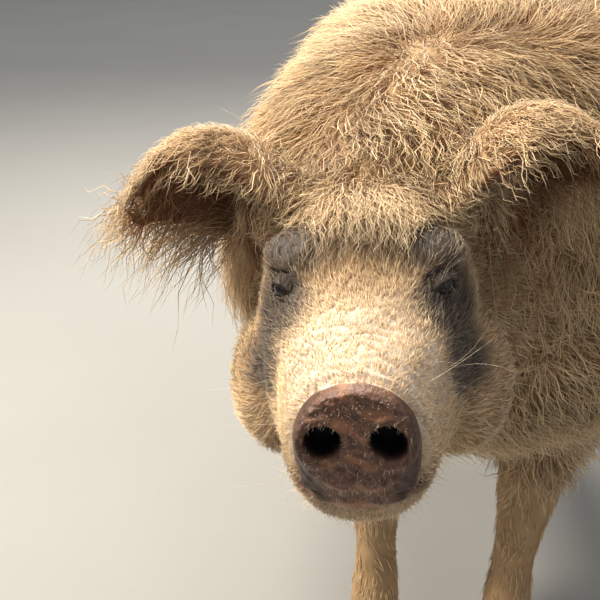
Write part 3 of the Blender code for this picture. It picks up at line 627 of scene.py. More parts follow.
@dataclass(frozen=True)
class FloorFinish(Finish):
    """A plain pale floor with a faint grain."""

    light: Colour = (0.30, 0.295, 0.28)
    dark: Colour = (0.27, 0.265, 0.25)

    def make(self, mottle: bpy.types.NodeTree) -> bpy.types.Material:
        """Build the material around the shared mottle group."""
        material, nodes, shader = self.start()
        node = mottled(nodes, mottle, nodes.place(), self.light, self.dark, 1.5, 60.0)
        nodes.fill(shader, {"Base Color": node.outputs["Color"]})
        return material


# The flesh.

ACROSS = Vector((1, 0, 0))
UP = Vector((0, 0, 1))
SIDES = (1.0, -1.0)
SIDE_NAMES = {1.0: "left", -1.0: "right"}
FLESH_NODES = ("torso", "neck", "head", "snout_disc", "ear_left", "ear_right", "leg_front_left",
               "leg_front_right", "leg_hind_left", "leg_hind_right", "tail")


@dataclass(frozen=True)
class Flesh:
    """The lofted forms of the body and head, and how they are melted into one skin.

    The trunk's rows are (y, top, bottom, half width). The skull's are (behind the disc, top, bottom,
    half width). A leg's and the tail's are (x, y, z, radius). The neck's are (share of the head's x,
    behind the skull's end, rise, half width, top, bottom). An ear's cup sweeps that many degrees to
    each side at its root, and fewer towards its tip. Skull, swellings and ears are before the head's
    size.
    """

    trunk: tuple = (
        (-0.335, 0.66, 0.47, 0.100), (-0.30, 0.765, 0.41, 0.178), (-0.24, 0.833, 0.372, 0.223),
        (-0.14, 0.864, 0.350, 0.240), (0.04, 0.866, 0.335, 0.242), (0.22, 0.858, 0.325, 0.234),
        (0.38, 0.836, 0.345, 0.219), (0.50, 0.796, 0.390, 0.190), (0.585, 0.735, 0.450, 0.140),
        (0.63, 0.660, 0.530, 0.070),
    )
    skull: tuple = (
        (0.004, 0.044, 0.046, 0.047), (0.020, 0.047, 0.082, 0.055), (0.045, 0.052, 0.111, 0.064),
        (0.080, 0.056, 0.121, 0.071), (0.115, 0.058, 0.125, 0.083), (0.150, 0.066, 0.129, 0.096),
        (0.185, 0.084, 0.134, 0.106), (0.225, 0.107, 0.139, 0.112), (0.270, 0.125, 0.142, 0.113),
        (0.320, 0.134, 0.143, 0.113), (0.370, 0.130, 0.137, 0.108),
    )
    foreleg: tuple = (
        (0.095, -0.175, 0.60, 0.100), (0.115, -0.170, 0.48, 0.085), (0.112, -0.175, 0.375, 0.060),
        (0.098, -0.198, 0.27, 0.038), (0.092, -0.200, 0.17, 0.027), (0.090, -0.200, 0.10, 0.031),
        (0.090, -0.212, 0.045, 0.035),
    )
    hindleg: tuple = (
        (0.085, 0.420, 0.62, 0.125), (0.120, 0.390, 0.50, 0.110), (0.130, 0.385, 0.38, 0.078),
        (0.125, 0.455, 0.29, 0.045), (0.122, 0.485, 0.21, 0.031), (0.122, 0.475, 0.11, 0.032),
        (0.122, 0.460, 0.045, 0.035),
    )
    tail: tuple = (
        (0.0, 0.600, 0.715, 0.026), (0.004, 0.660, 0.690, 0.020), (0.012, 0.700, 0.630, 0.015),
        (0.022, 0.705, 0.560, 0.012), (0.028, 0.690, 0.500, 0.010),
    )
    neck: tuple = (
        (1.0, 0.0, 0.0, 0.092, 0.110, 0.112), (0.72, 0.07, 0.008, 0.168, 0.144, 0.140),
        (0.35, 0.16, 0.010, 0.216, 0.194, 0.190), (0.0, 0.26, -0.010, 0.230, 0.228, 0.230),
    )
    swellings: tuple = (
        ("jowl_form", (0.090, 0.250, -0.074), (0.060, 0.100, 0.080)),
        ("brow_form", (0.067, 0.217, 0.078), (0.034, 0.034, 0.020)),
        ("ear_base_form", (0.092, 0.315, 0.090), (0.042, 0.045, 0.040)),
    )
    disc_profile: tuple = ((-0.001, 0.80), (0.001, 0.93), (0.005, 1.0), (0.014, 1.0), (0.020, 0.9),
                           (0.036, 0.86))
    disc_half_width: float = 0.0525
    disc_half_height: float = 0.0490
    disc_spokes: int = 72
    ear_root: tuple = (0.098, 0.315, 0.098)
    ear_length: float = 0.163
    ear_radius: float = 0.068
    ear_thickness: float = 0.010
    ear_lift: tuple = ((1.0, 0.76), (-1.0, 0.60))
    ear_opening: tuple = ((1.0, (0.0, -0.70, -0.71)), (-1.0, (0.0, -0.83, -0.56)))
    ear_sweep: float = 128.0
    ear_narrowing: float = 66.0
    ear_steps: int = 24
    ear_reach: float = 0.97
    steps: int = 5
    voxel: float = 0.004
    smoothing: int = 5
    body_triangles: int = 56000

    def tube(self, name: str, rows: Sequence[tuple], count: int) -> bpy.types.Object:
        """A bent tube through (x, y, z, radius) rows."""
        rows = smooth_rows(rows, self.steps)
        points = [Vector(row[:3]) for row in rows]
        rings = []
        for i, (point, row) in enumerate(zip(points, rows)):
            along = (points[min(i + 1, len(points) - 1)] - points[max(i - 1, 0)]).normalized()
            side = along.cross(Vector((0, 1, 0))).normalized()
            rise = side.cross(along).normalized()
            rings.append(oval_ring(point, side, rise, row[3], row[3], row[3], count, 2.0))
        return loft(name, rings)

    def barrel(self) -> bpy.types.Object:
        """The trunk."""
        rings = []
        for y, top, bottom, half in smooth_rows(self.trunk, self.steps):
            middle = Vector((0.0, y, 0.55 * top + 0.45 * bottom))
            rings.append(oval_ring(middle, ACROSS, UP, half, top - middle.z, middle.z - bottom, 48, 2.4))
        return loft("trunk_form", rings)

    def skull_form(self) -> bpy.types.Object:
        """The skull and muzzle behind the snout disc."""
        rings = []
        for back, top, bottom, half in smooth_rows(self.skull, self.steps):
            middle = Vector((0.0, back, 0.5 * (top - bottom)))
            ring = oval_ring(middle, ACROSS, UP, half, top - middle.z, middle.z + bottom, 56, 2.3)
            rings.append([HEAD.matrix @ point for point in ring])
        return loft("skull_form", rings)

    def neck_form(self) -> bpy.types.Object:
        """The thick short neck, from the back of the skull into the shoulders."""
        end = HEAD.matrix @ Vector((0.0, 0.30, 0.0))
        rows = [(end.x * share, end.y + back, end.z + rise, *sizes)
                for share, back, rise, *sizes in self.neck]
        return loft("neck_form", [oval_ring(Vector(row[:3]), ACROSS, UP, *row[3:], 48, 2.2)
                                  for row in smooth_rows(rows, self.steps)])

    def disc_form(self) -> bpy.types.Object:
        """The snout disc, narrower above than at the nostrils, with a rounded rim."""
        rings = []
        for back, grow in self.disc_profile:
            ring = []
            for i in range(self.disc_spokes):
                turn = 2.0 * math.pi * i / self.disc_spokes
                high = math.sin(turn)
                wide = math.cos(turn) * (1.0 - 0.15 * max(0.0, high) ** 2 - 0.10 * max(0.0, -high) ** 1.5)
                ring.append(HEAD.matrix @ Vector((wide * self.disc_half_width * grow, back,
                                                  high * self.disc_half_height * grow)))
            rings.append(ring)
        return loft("disc_form", rings)

    def ball(self, name: str, place: Sequence[float], radii: Sequence[float]) -> bpy.types.Object:
        """A stretched ball in the head's frame."""
        bm = bmesh.new()
        bmesh.ops.create_uvsphere(bm, u_segments=28, v_segments=18, radius=1.0)
        bm.transform(HEAD.matrix @ Matrix.Translation(Vector(place)) @ Matrix.Diagonal((*radii, 1.0)))
        return as_object(name, bm)

    def ear_line(self, side: float, t: Array) -> tuple[Array, Array]:
        """The middle of an ear's cup in the head's frame and the cup's radius, at t from root to tip."""
        lift = dict(self.ear_lift)[side]
        t = np.asarray(t, dtype=float)
        radius = self.ear_radius * (0.70 + 1.30 * t - 1.65 * t * t) * (1.0 - 0.25 * t ** 6)
        sag = lift * t - 0.62 * t * t
        way = np.stack([side * self.ear_reach * t, -0.10 * t - 0.20 * t * t, sag], axis=-1)
        root = np.array([self.ear_root[0] * side, self.ear_root[1], self.ear_root[2]])
        return root + way * self.ear_length, radius

    def ear_form(self, side: float) -> bpy.types.Object:
        """One lopped ear: a soft cup held out sideways that opens forward and down."""
        opening = np.array(dict(self.ear_opening)[side])
        edge = np.array((0.0, opening[2], -opening[1]))
        steps = spokes = self.ear_steps
        sheets = ([], [])
        bm = bmesh.new()
        for i in range(steps + 1):
            t = i / steps
            middle, radius = self.ear_line(side, t)
            sweep = math.radians(self.ear_sweep - self.ear_narrowing * t)
            for sheet, away in zip(sheets, (0.0, self.ear_thickness * (1.0 - 0.4 * t))):
                row = []
                for k in range(spokes + 1):
                    a = sweep * (2.0 * k / spokes - 1.0)
                    place = middle + (edge * math.sin(a) - opening * math.cos(a)) * (radius - away)
                    row.append(bm.verts.new(HEAD.matrix @ Vector(place)))
                sheet.append(row)
        outer, inner = sheets
        for i in range(steps):
            for k in range(spokes):
                bm.faces.new((outer[i][k], outer[i][k + 1], outer[i + 1][k + 1], outer[i + 1][k]))
                bm.faces.new((inner[i][k], inner[i + 1][k], inner[i + 1][k + 1], inner[i][k + 1]))
            for k in (0, spokes):
                bm.faces.new((outer[i][k], outer[i + 1][k], inner[i + 1][k], inner[i][k]))
        for i in (0, steps):
            for k in range(spokes):
                bm.faces.new((outer[i][k], outer[i][k + 1], inner[i][k + 1], inner[i][k]))
        return as_object("ear_form", bm)

    def build(self) -> bpy.types.Object:
        """Melt every form into one skin, coarse on the body and finer towards the face.

        Returns:
            The skin, in the modelling frame.
        """
        forms = [self.barrel(), self.neck_form(), self.skull_form(), self.disc_form(),
                 self.tube("tail_form", self.tail, 20)]
        for side in SIDES:
            for name, rows in (("foreleg_form", self.foreleg), ("hindleg_form", self.hindleg)):
                forms.append(self.tube(name, [(x * side, y, z, r) for x, y, z, r in rows], 32))
            for name, (x, y, z), radii in self.swellings:
                forms.append(self.ball(name, (x * side, y, z), radii))
            forms.append(self.ear_form(side))
        skin = join_forms("pig_skin", forms)
        melt(skin, self.voxel, self.smoothing)
        self.lighten_body(skin)
        return skin

    def lighten_body(self, skin: bpy.types.Object) -> None:
        """Decimate the skin behind the head, which the coat covers."""
        points, _, corners = mesh_arrays(skin)
        local = HEAD.local(points)
        body = (local[:, 1] > 0.40) & (points[:, 1] > -0.36)
        group = skin.vertex_groups.new(name="lighten")
        group.add(np.nonzero(body)[0].tolist(), 1.0, "REPLACE")
        share = body[corners].all(axis=1).mean()
        decimate = skin.modifiers.new("lighten", "DECIMATE")
        decimate.vertex_group = "lighten"
        decimate.vertex_group_factor = 1.0
        decimate.ratio = 1.0 - share + self.body_triangles / len(corners)
        apply_modifiers(skin)
        skin.vertex_groups.clear()


# The face.


@dataclass(frozen=True)
class Face:
    """The carved detail of the head: nostrils, rim, mouth, lids, folds and patches of colour, some of them
    painted shade.

    A patch is its middle, its radii and its strength. All sizes but the lids' are before the head's size.
    """

    flesh: Flesh
    nostril_spread: float = 0.0265
    nostril_half: tuple = (0.0165, 0.0172)
    nostril_depth: float = 0.026
    nostril_lip: float = 0.0030
    disc_rim: float = 0.0022
    disc_groove: float = 0.0030
    disc_grain: float = 0.0010
    collar: float = 0.0035
    mouth_corner: float = 0.165
    mouth_slit: float = 0.0060
    lip: float = 0.0026
    wrinkle: float = 0.0011
    wrinkle_pitch: float = 0.0135
    unevenness: float = 0.0020
    eye_way: tuple = (0.62, -0.77, 0.13)
    eye_open: tuple = (0.0092, 0.0052)
    lid_thickness: float = 0.0016
    lid_rim: float = 0.0009
    upper_fold: float = 0.0016
    lower_fold: float = 0.0014
    # Patches round the eyes, down the cheek and over the brow: partly the skin's own dark colour, partly
    # painted shade in the sunken eye sockets. The last, over the brow's middle, is painted shadow under the
    # forelock.
    patches: tuple = (
        ((0.084, 0.182, 0.040), (0.046, 0.056, 0.036), 1.0),
        ((0.100, 0.158, -0.006), (0.038, 0.050, 0.040), 1.0),
        ((0.068, 0.212, 0.084), (0.042, 0.046, 0.034), 0.85),
        ((0.0, 0.228, 0.095), (0.080, 0.040, 0.050), 0.55),
    )

    def eye(self, side: float) -> tuple[Array, Array, float]:
        """An eyeball's middle, the way it looks and its radius, from the CAD's own eye."""
        low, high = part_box(f"eye_{SIDE_NAMES[side]}")
        middle = (np.array(low) + np.array(high)) / 2.0 + np.array(GROUND_MIDDLE)
        across, forward, up = self.eye_way
        way = HEAD.way(across * side, forward, up)
        return middle, way, float(high[2] - low[2]) / 2.0

    def refine(self, skin: bpy.types.Object) -> None:
        """Split the faces once on the muzzle and round the eyes, and twice on the disc and lids."""
        for chosen in (self.near_face, self.near_detail):
            bm = bmesh.new()
            bm.from_mesh(skin.data)
            middles = np.array([f.calc_center_median() for f in bm.faces])
            take = chosen(middles)
            edges = {e for f, wanted in zip(bm.faces, take) if wanted for e in f.edges}
            bmesh.ops.subdivide_edges(bm, edges=list(edges), cuts=1, use_grid_fill=True)
            bmesh.ops.triangulate(bm, faces=[f for f in bm.faces if len(f.verts) > 4])
            bm.to_mesh(skin.data)
            bm.free()

    def near_face(self, points: Array) -> Array:
        """Whether points lie on the muzzle or round the eyes."""
        return (HEAD.local(points)[:, 1] < 0.105) | self.near_eyes(points, 0.030)

    def near_detail(self, points: Array) -> Array:
        """Whether points lie on the disc or at the lids."""
        return (HEAD.local(points)[:, 1] < 0.034) | self.near_eyes(points, 0.019)

    def near_eyes(self, points: Array, reach: float) -> Array:
        """Whether points lie within reach of an eye's middle."""
        near = np.zeros(len(points), dtype=bool)
        for side in SIDES:
            near |= np.linalg.norm(points - self.eye(side)[0], axis=1) < reach
        return near

    def nostril_ring(self, local: Array) -> Array:
        """How far out points are from the nearer nostril's middle, as a share of its half size."""
        away = np.abs(local[:, 0]) - self.nostril_spread
        x = away / self.nostril_half[0]
        z = (local[:, 2] - 0.002 + 0.10 * away) / self.nostril_half[1]
        squeeze = 1.0 + 0.22 * np.clip(-x, 0.0, 1.0)
        return np.sqrt(x * x + (z * squeeze) ** 2)

    def disc_radius(self, local: Array) -> Array:
        """How far out points are from the disc's middle, as a share of its half size."""
        return np.sqrt((local[:, 0] / self.flesh.disc_half_width) ** 2
                       + (local[:, 2] / self.flesh.disc_half_height) ** 2)

    def mouth_height(self, local: Array) -> tuple[Array, Array]:
        """The mouth line's height at each point's distance back, and how open it is there."""
        run = np.clip(0.45 + 0.55 * (local[:, 1] - 0.050) / (self.mouth_corner - 0.050), 0.35, 1.0)
        height = -0.0600 + 0.026 * run ** 3
        fade = (1.0 - blend(local[:, 1], 0.11, self.mouth_corner)) * blend(local[:, 1], 0.010, 0.020)
        return height, fade

    def carve(self, skin: bpy.types.Object) -> None:
        """Move the skin's points to make the face's detail."""
        points, normals, _ = mesh_arrays(skin)
        local = HEAD.local(points)
        x, y, z = local.T
        back = HEAD.way(0.0, 1.0, 0.0)
        size = HEAD.size
        front = 1.0 - blend(y, 0.010, 0.018)
        ring = self.nostril_ring(local)
        push = front * self.nostril_depth * (1.0 - blend(ring, 0.62, 1.0))
        push -= front * self.nostril_lip * bell(ring, 1.28, 0.24)
        push -= front * self.disc_rim * bell(self.disc_radius(local), 0.93, 0.08)
        push += front * self.disc_groove * bell(x, 0.0, 0.0045) * blend(-z, 0.006, 0.030)
        push += front * self.disc_grain * ripple(local, 0.010, 0.3) * blend(ring, 1.0, 1.3)
        points += np.outer(push * size, back)

        height, fade = self.mouth_height(local)
        gap = z - height
        inward = self.mouth_slit * fade * bell(gap, 0.0, 0.0024)
        inward -= self.lip * fade * bell(np.abs(gap), 0.0080, 0.0040)
        muzzle = blend(y, 0.022, 0.032) * (1.0 - blend(y, 0.095, 0.15))
        folds = np.sin((y + 0.004 * ripple(local, 0.035, 0.7)) * 2.0 * math.pi / self.wrinkle_pitch)
        inward -= self.wrinkle * muzzle * folds * blend(z, -0.03, 0.03)
        inward += self.collar * bell(y, 0.0245, 0.0050)
        before_ears = blend(y, 0.03, 0.06) * (1.0 - blend(y, 0.10, 0.30))
        inward -= self.unevenness * before_ears * ripple(local, 0.050, 0.9)
        points -= normals * (inward * size)[:, None]
        for side in SIDES:
            points = self.carve_eye(points, side)
        move_points(skin, points)

    def carve_eye(self, points: Array, side: float) -> Array:
        """Open an almond between two lids that close over the eyeball."""
        middle, way, radius = self.eye(side)
        up = HEAD.way(0.0, 0.0, 1.0)
        across = unit(np.cross(way, up)[None])[0]
        up = np.cross(across, way)
        rel = points - middle
        out, a, b = rel @ way, rel @ across, rel @ up
        b = b + 0.12 * a * side
        reach = np.sqrt(a * a + b * b)
        near = (reach < radius * 2.6) & (out > -radius * 1.2)
        lid = radius + self.lid_thickness
        dome = np.sqrt(np.clip(lid * lid - np.minimum(reach, lid) ** 2, 0.0, None))
        cover = np.maximum(out, dome * (reach < lid))
        fold = self.upper_fold * bell(b, radius * 1.05, 0.0017) - self.lower_fold * bell(b, -radius, 0.0018)
        cover = cover - np.abs(fold) * (np.abs(a) < radius * 1.5)
        rim = np.sqrt((a / self.eye_open[0]) ** 2 + (b / self.eye_open[1]) ** 2)
        cover = cover + self.lid_rim * bell(rim, 1.3, 0.25)
        depth = np.where(rim < 1.0, -radius * 0.4, cover)
        moved = out + (depth - out) * near
        soft = blend(reach, radius * 1.5, radius * 2.6)
        moved = np.where(near, moved * (1.0 - soft) + out * soft, out)
        return points + np.outer(moved - out, way)

    def masks(self, points: Array, normals: Array) -> dict[str, Array]:
        """How much each patch of the skin's colour covers each point, painted shade and painted light among
        them.

        Args:
            points: Points in the modelling frame.
            normals: Their outward normals.

        Returns:
            Shares from 0 to 1, by the patch's name.
        """
        local = HEAD.local(points)
        x, y, z = local.T
        head = (1.0 - blend(y, 0.30, 0.40)) * (points[:, 1] < -0.30)
        wobble = 0.004 * ripple(local, 0.020, 0.5)
        disc = 1.0 - blend(y + wobble * 0.8, 0.0165, 0.0225)
        ring = self.nostril_ring(local)
        height, fade = self.mouth_height(local)
        slit = fade * bell(z, height, 0.0030) * (y > 0.012)
        # Painted shade: near black inside the nostrils and along the mouth slit, recesses that the carving
        # already makes; the same mask also darkens a band at the disc's sides.
        hollow = np.maximum((1.0 - blend(ring, 0.86, 1.02)) * (y < 0.06), slit)
        edge = blend(self.disc_radius(local) + 8.0 * wobble, 0.78, 1.02) * blend(np.abs(x), 0.016, 0.042)
        hollow = np.maximum(hollow, 0.62 * disc * edge)
        patch = np.zeros(len(points))
        folded = np.stack([np.abs(x), y, z], axis=1)
        for centre, radii, strength in self.patches:
            away = (folded - np.array(centre)) / np.array(radii)
            patch = np.maximum(patch, strength * np.exp(-(away ** 2).sum(axis=1) * 0.9))
        patch = blend(patch + 6.0 * wobble, 0.14, 0.72) * head
        # A dark ring round each eye: partly dark lid skin, partly painted shade in the socket.
        for side in SIDES:
            near = np.linalg.norm(points - self.eye(side)[0], axis=1)
            patch = np.maximum(patch, 1.0 - blend(near, 0.014, 0.022))
        lips = (1.0 - blend(np.abs(z - height), 0.006, 0.020)) * (1.0 - blend(y, 0.045, 0.085)) * head
        muzzle = head * (1.0 - blend(y, 0.10, 0.18)) * (1.0 - 0.7 * lips)
        # Paler on top than underneath: partly the muzzle's own pale colour, partly painted light on its lit
        # top.
        muzzle = muzzle * (0.35 + 0.65 * blend(z, -0.05, 0.0))
        ear, inner = self.ear_shares(local, normals)
        pink = 0.6 * disc * blend(ripple(local, 0.022, 0.2), 0.05, 0.8)
        pink = pink * (1.0 - blend(np.abs(x), 0.018, 0.040))
        return {"disc": np.maximum(disc, lips * 0.75), "hollow": hollow, "patch": patch, "muzzle": muzzle,
                "ear": inner, "pink": pink, "is_ear": ear}

    def ear_shares(self, local: Array, normals: Array) -> tuple[Array, Array]:
        """Whether points belong to an ear, and to the hollow side of one, which is darkened as painted
        shade.
        """
        share = np.zeros(len(local))
        inner = np.zeros(len(local))
        for side in SIDES:
            opening = HEAD.way(*dict(self.flesh.ear_opening)[side])
            out = local[:, 0] * side - self.flesh.ear_root[0]
            t = np.clip(out / (self.flesh.ear_reach * self.flesh.ear_length), 0.0, 1.0)
            middle, radius = self.flesh.ear_line(side, t)
            near = np.linalg.norm(local - middle, axis=1) < radius * 1.12 + 0.006
            mine = (near & (local[:, 0] * side > 0.118)).astype(float)
            share = np.maximum(share, mine)
            inner = np.maximum(inner, mine * blend(normals @ opening, 0.0, 0.45))
        return share, inner

    def dress(self, skin: bpy.types.Object, material: bpy.types.Material) -> None:
        """Give the skin its patches as attributes, and its material."""
        points, normals, _ = mesh_arrays(skin)
        for label, values in self.masks(points, normals).items():
            point_layer(skin.data, label, values)
        shade_smooth(skin)
        skin.data.materials.append(material)


# The coat.


class Ground:
    """The finished skin as arrays and as a tree that finds its nearest point."""

    def __init__(self, skin: bpy.types.Object, face: Face) -> None:
        self.points, self.normals, self.corners = mesh_arrays(skin)
        self.tree = BVHTree.FromPolygons(self.points.tolist(), self.corners.tolist())
        self.masks = face.masks(self.points, self.normals)
        a, b, c = (self.points[self.corners[:, k]] for k in range(3))
        self.area = 0.5 * np.linalg.norm(np.cross(b - a, c - a), axis=1)

    def nearest(self, points: Array) -> tuple[Array, Array]:
        """The nearest skin points and the normals there."""
        places, normals = np.empty_like(points), np.empty_like(points)
        for i, point in enumerate(points):
            place, normal, _, _ = self.tree.find_nearest(point)
            places[i], normals[i] = place, normal
        return places, normals

    def scatter(self, count: int, share: Array, rng: np.random.Generator) -> "Roots":
        """Spread roots over the skin, thicker where their share is higher.

        Args:
            count: How many roots.
            share: The wanted density at each of the skin's points.
            rng: The generator of random numbers.

        Returns:
            The roots.
        """
        weight = np.cumsum(self.area * share[self.corners].mean(axis=1))
        picks = rng.random(count) * weight[-1]
        chosen = np.minimum(np.searchsorted(weight, picks), len(weight) - 1)
        u, v = rng.random(count), rng.random(count)
        over = u + v > 1.0
        u[over], v[over] = 1.0 - u[over], 1.0 - v[over]
        parts = np.stack([1.0 - u - v, u, v], axis=1)[:, :, None]
        corners = self.corners[chosen]
        masks = {label: (values[corners] * parts[:, :, 0]).sum(axis=1)
                 for label, values in self.masks.items()}
        points = (self.points[corners] * parts).sum(axis=1)
        return Roots(points, unit((self.normals[corners] * parts).sum(axis=1)), masks)


@dataclass
class Roots:
    """Where hairs grow from: points, normals and the skin's masks there."""

    points: Array
    normals: Array
    masks: dict[str, Array]

    @property
    def local(self) -> Array:
        """The points in the head's frame."""
        return HEAD.local(self.points)


def outward_share(x: Array) -> Array:
    """The side a point is on, easing to 0 at the spine."""
    return np.sign(x) * blend(np.abs(x), 0.0, 0.16)


def coat_lie(roots: Roots) -> Array:
    """The way the long coat lies: back and down on the body, forward over the crown."""
    x, y, z = roots.points.T
    local = roots.local
    side = outward_share(x)
    ones = np.ones(len(x))
    body = np.stack([0.55 * side, 0.60 * ones, -0.20 - 0.75 * blend(np.abs(x), 0.04, 0.20)], axis=1)
    legs = np.stack([0.0 * ones, 0.15 * ones, -1.0 * ones], axis=1)
    low = (1.0 - blend(z, 0.30, 0.46))[:, None]
    body = body * (1.0 - low) + legs * low
    crown = np.stack([0.55 * outward_share(local[:, 0] * 1.6), -0.55 * ones, -0.70 * ones], axis=1)
    mix = np.where(y < 0.0, blend(local[:, 1], 0.36, 0.56), 1.0)[:, None]
    return unit(crown * (1.0 - mix) + body * mix)


def face_lie(roots: Roots) -> Array:
    """The way the short hair of the face lies: back from the snout, up the brow and down the cheek."""
    x, _, z = roots.local.T
    ones = np.ones(len(x))
    side = np.sign(x) * blend(np.abs(x), 0.0, 0.05)
    rise = 0.55 * blend(z, 0.0, 0.06) - 0.55 * (1.0 - blend(z, -0.06, 0.0))
    return unit(HEAD.ways(np.stack([0.45 * side, ones, rise], axis=1)))


EAR_HAIR_SPAN = 0.18


def ear_run(out: Array) -> Array:
    """How far along an ear points lie, from 0 at its root to 1 past its tip, from their x outwards."""
    return np.clip((out - FLESH.ear_root[0]) / EAR_HAIR_SPAN, 0.0, 1.0)


def ear_lie(roots: Roots) -> Array:
    """The way the ear's long hair lies: out along the ear, fanning from its middle line, and down."""
    local = roots.local
    out = np.zeros_like(local)
    for side in SIDES:
        mine = local[:, 0] * side > 0.0
        middle, _ = FLESH.ear_line(side, ear_run(local[:, 0] * side))
        fan = unit(local - middle)
        ways = np.array([side * 0.85, -0.10, -0.12]) + 0.55 * fan
        out[mine] = ways[mine]
    return unit(HEAD.ways(out))


def tail_lie(roots: Roots) -> Array:
    """The way the tail's hair lies, down and a little out."""
    return unit(roots.normals * 0.30 + np.array([0.0, -0.10, -1.0]))


@dataclass(frozen=True)
class Bed:
    """One bed of tufts.

    Attributes:
        name: The name of its piece, or the start of its pieces' names.
        nodes: The CAD nodes that its pieces replace.
        count: How many tufts it has.
        length: A tuft's length.
        width: A tuft's width.
        steps: How many stretches a tuft has from root to tip.
        where: The density at each of the skin's points.
        lie: The way that each tuft lies.
        lift: How far a tip stands off the skin, as a share of the length.
        wave: How far a tuft swings aside, and wavelength the distance between its swings.
        gather: How far a tip leans to the middle of its lock, as a share of the way.
        locks: How many tufts make a lock.
        droop: How far a tip hangs down, as a share of the length.
        stray: How strongly single tufts stray from the lie.
        follows: Whether a tuft keeps to the skin's surface along its length.
        pieces: How many pieces the bed is cut into, from front to back.
        stretch: How many times its length each tuft has, by its root.
        rust_and_shade: The least share of reddish brown in its colour, which is partly painted shade.
    """

    name: str
    nodes: tuple[str, ...]
    count: int
    length: float
    width: float
    steps: int
    where: Callable[[Ground], Array]
    lie: Callable[[Roots], Array]
    lift: float = 0.22
    wave: float = 0.004
    wavelength: float = 0.030
    gather: float = 0.35
    locks: int = 10
    droop: float = 0.0
    stray: float = 0.25
    follows: bool = True
    pieces: int = 1
    stretch: Callable[[Roots], Array] | None = None
    rust_and_shade: float = 0.0


BAKE_PATCH = 0.003


def bake_map(piece: bpy.types.Object, points: Array, normals: Array, across: Array, level: Array) -> None:
    """Give each hair a small patch of the OFBake map at its root's place on an unwrap of the skin.

    Args:
        piece: The piece, whose hairs follow each other and have the same number of points.
        points: The root of each hair.
        normals: The skin's outward way at each root.
        across: Where each of a hair's points lies across its patch, from 0 to 1.
        level: Where it lies along the patch.
    """
    axis = np.abs(normals).argmax(axis=1)
    front = normals[np.arange(len(axis)), axis] > 0.0
    others = np.array([[1, 2], [0, 2], [0, 1]])[axis]
    flat = np.take_along_axis(points, others, axis=1)
    low, span = points.min(axis=0), np.maximum(np.ptp(points, axis=0), 1e-6)
    flat = (flat - low[others]) / span[others]
    tile = np.stack([axis, front.astype(int)], axis=1) / np.array([3.0, 2.0])
    corner = tile + flat * (np.array([1 / 3, 1 / 2]) - 2 * BAKE_PATCH) + BAKE_PATCH * 0.5
    inside = np.stack([across, level], axis=1) * BAKE_PATCH
    values = (corner[:, None] + inside[None]).reshape(-1, 2)
    corners = np.empty(len(piece.data.loops), dtype=np.int32)
    piece.data.loops.foreach_get("vertex_index", corners)
    layer = piece.data.uv_layers.new(name="OFBake")
    layer.data.foreach_set("uv", values[corners].astype(np.float32).ravel())


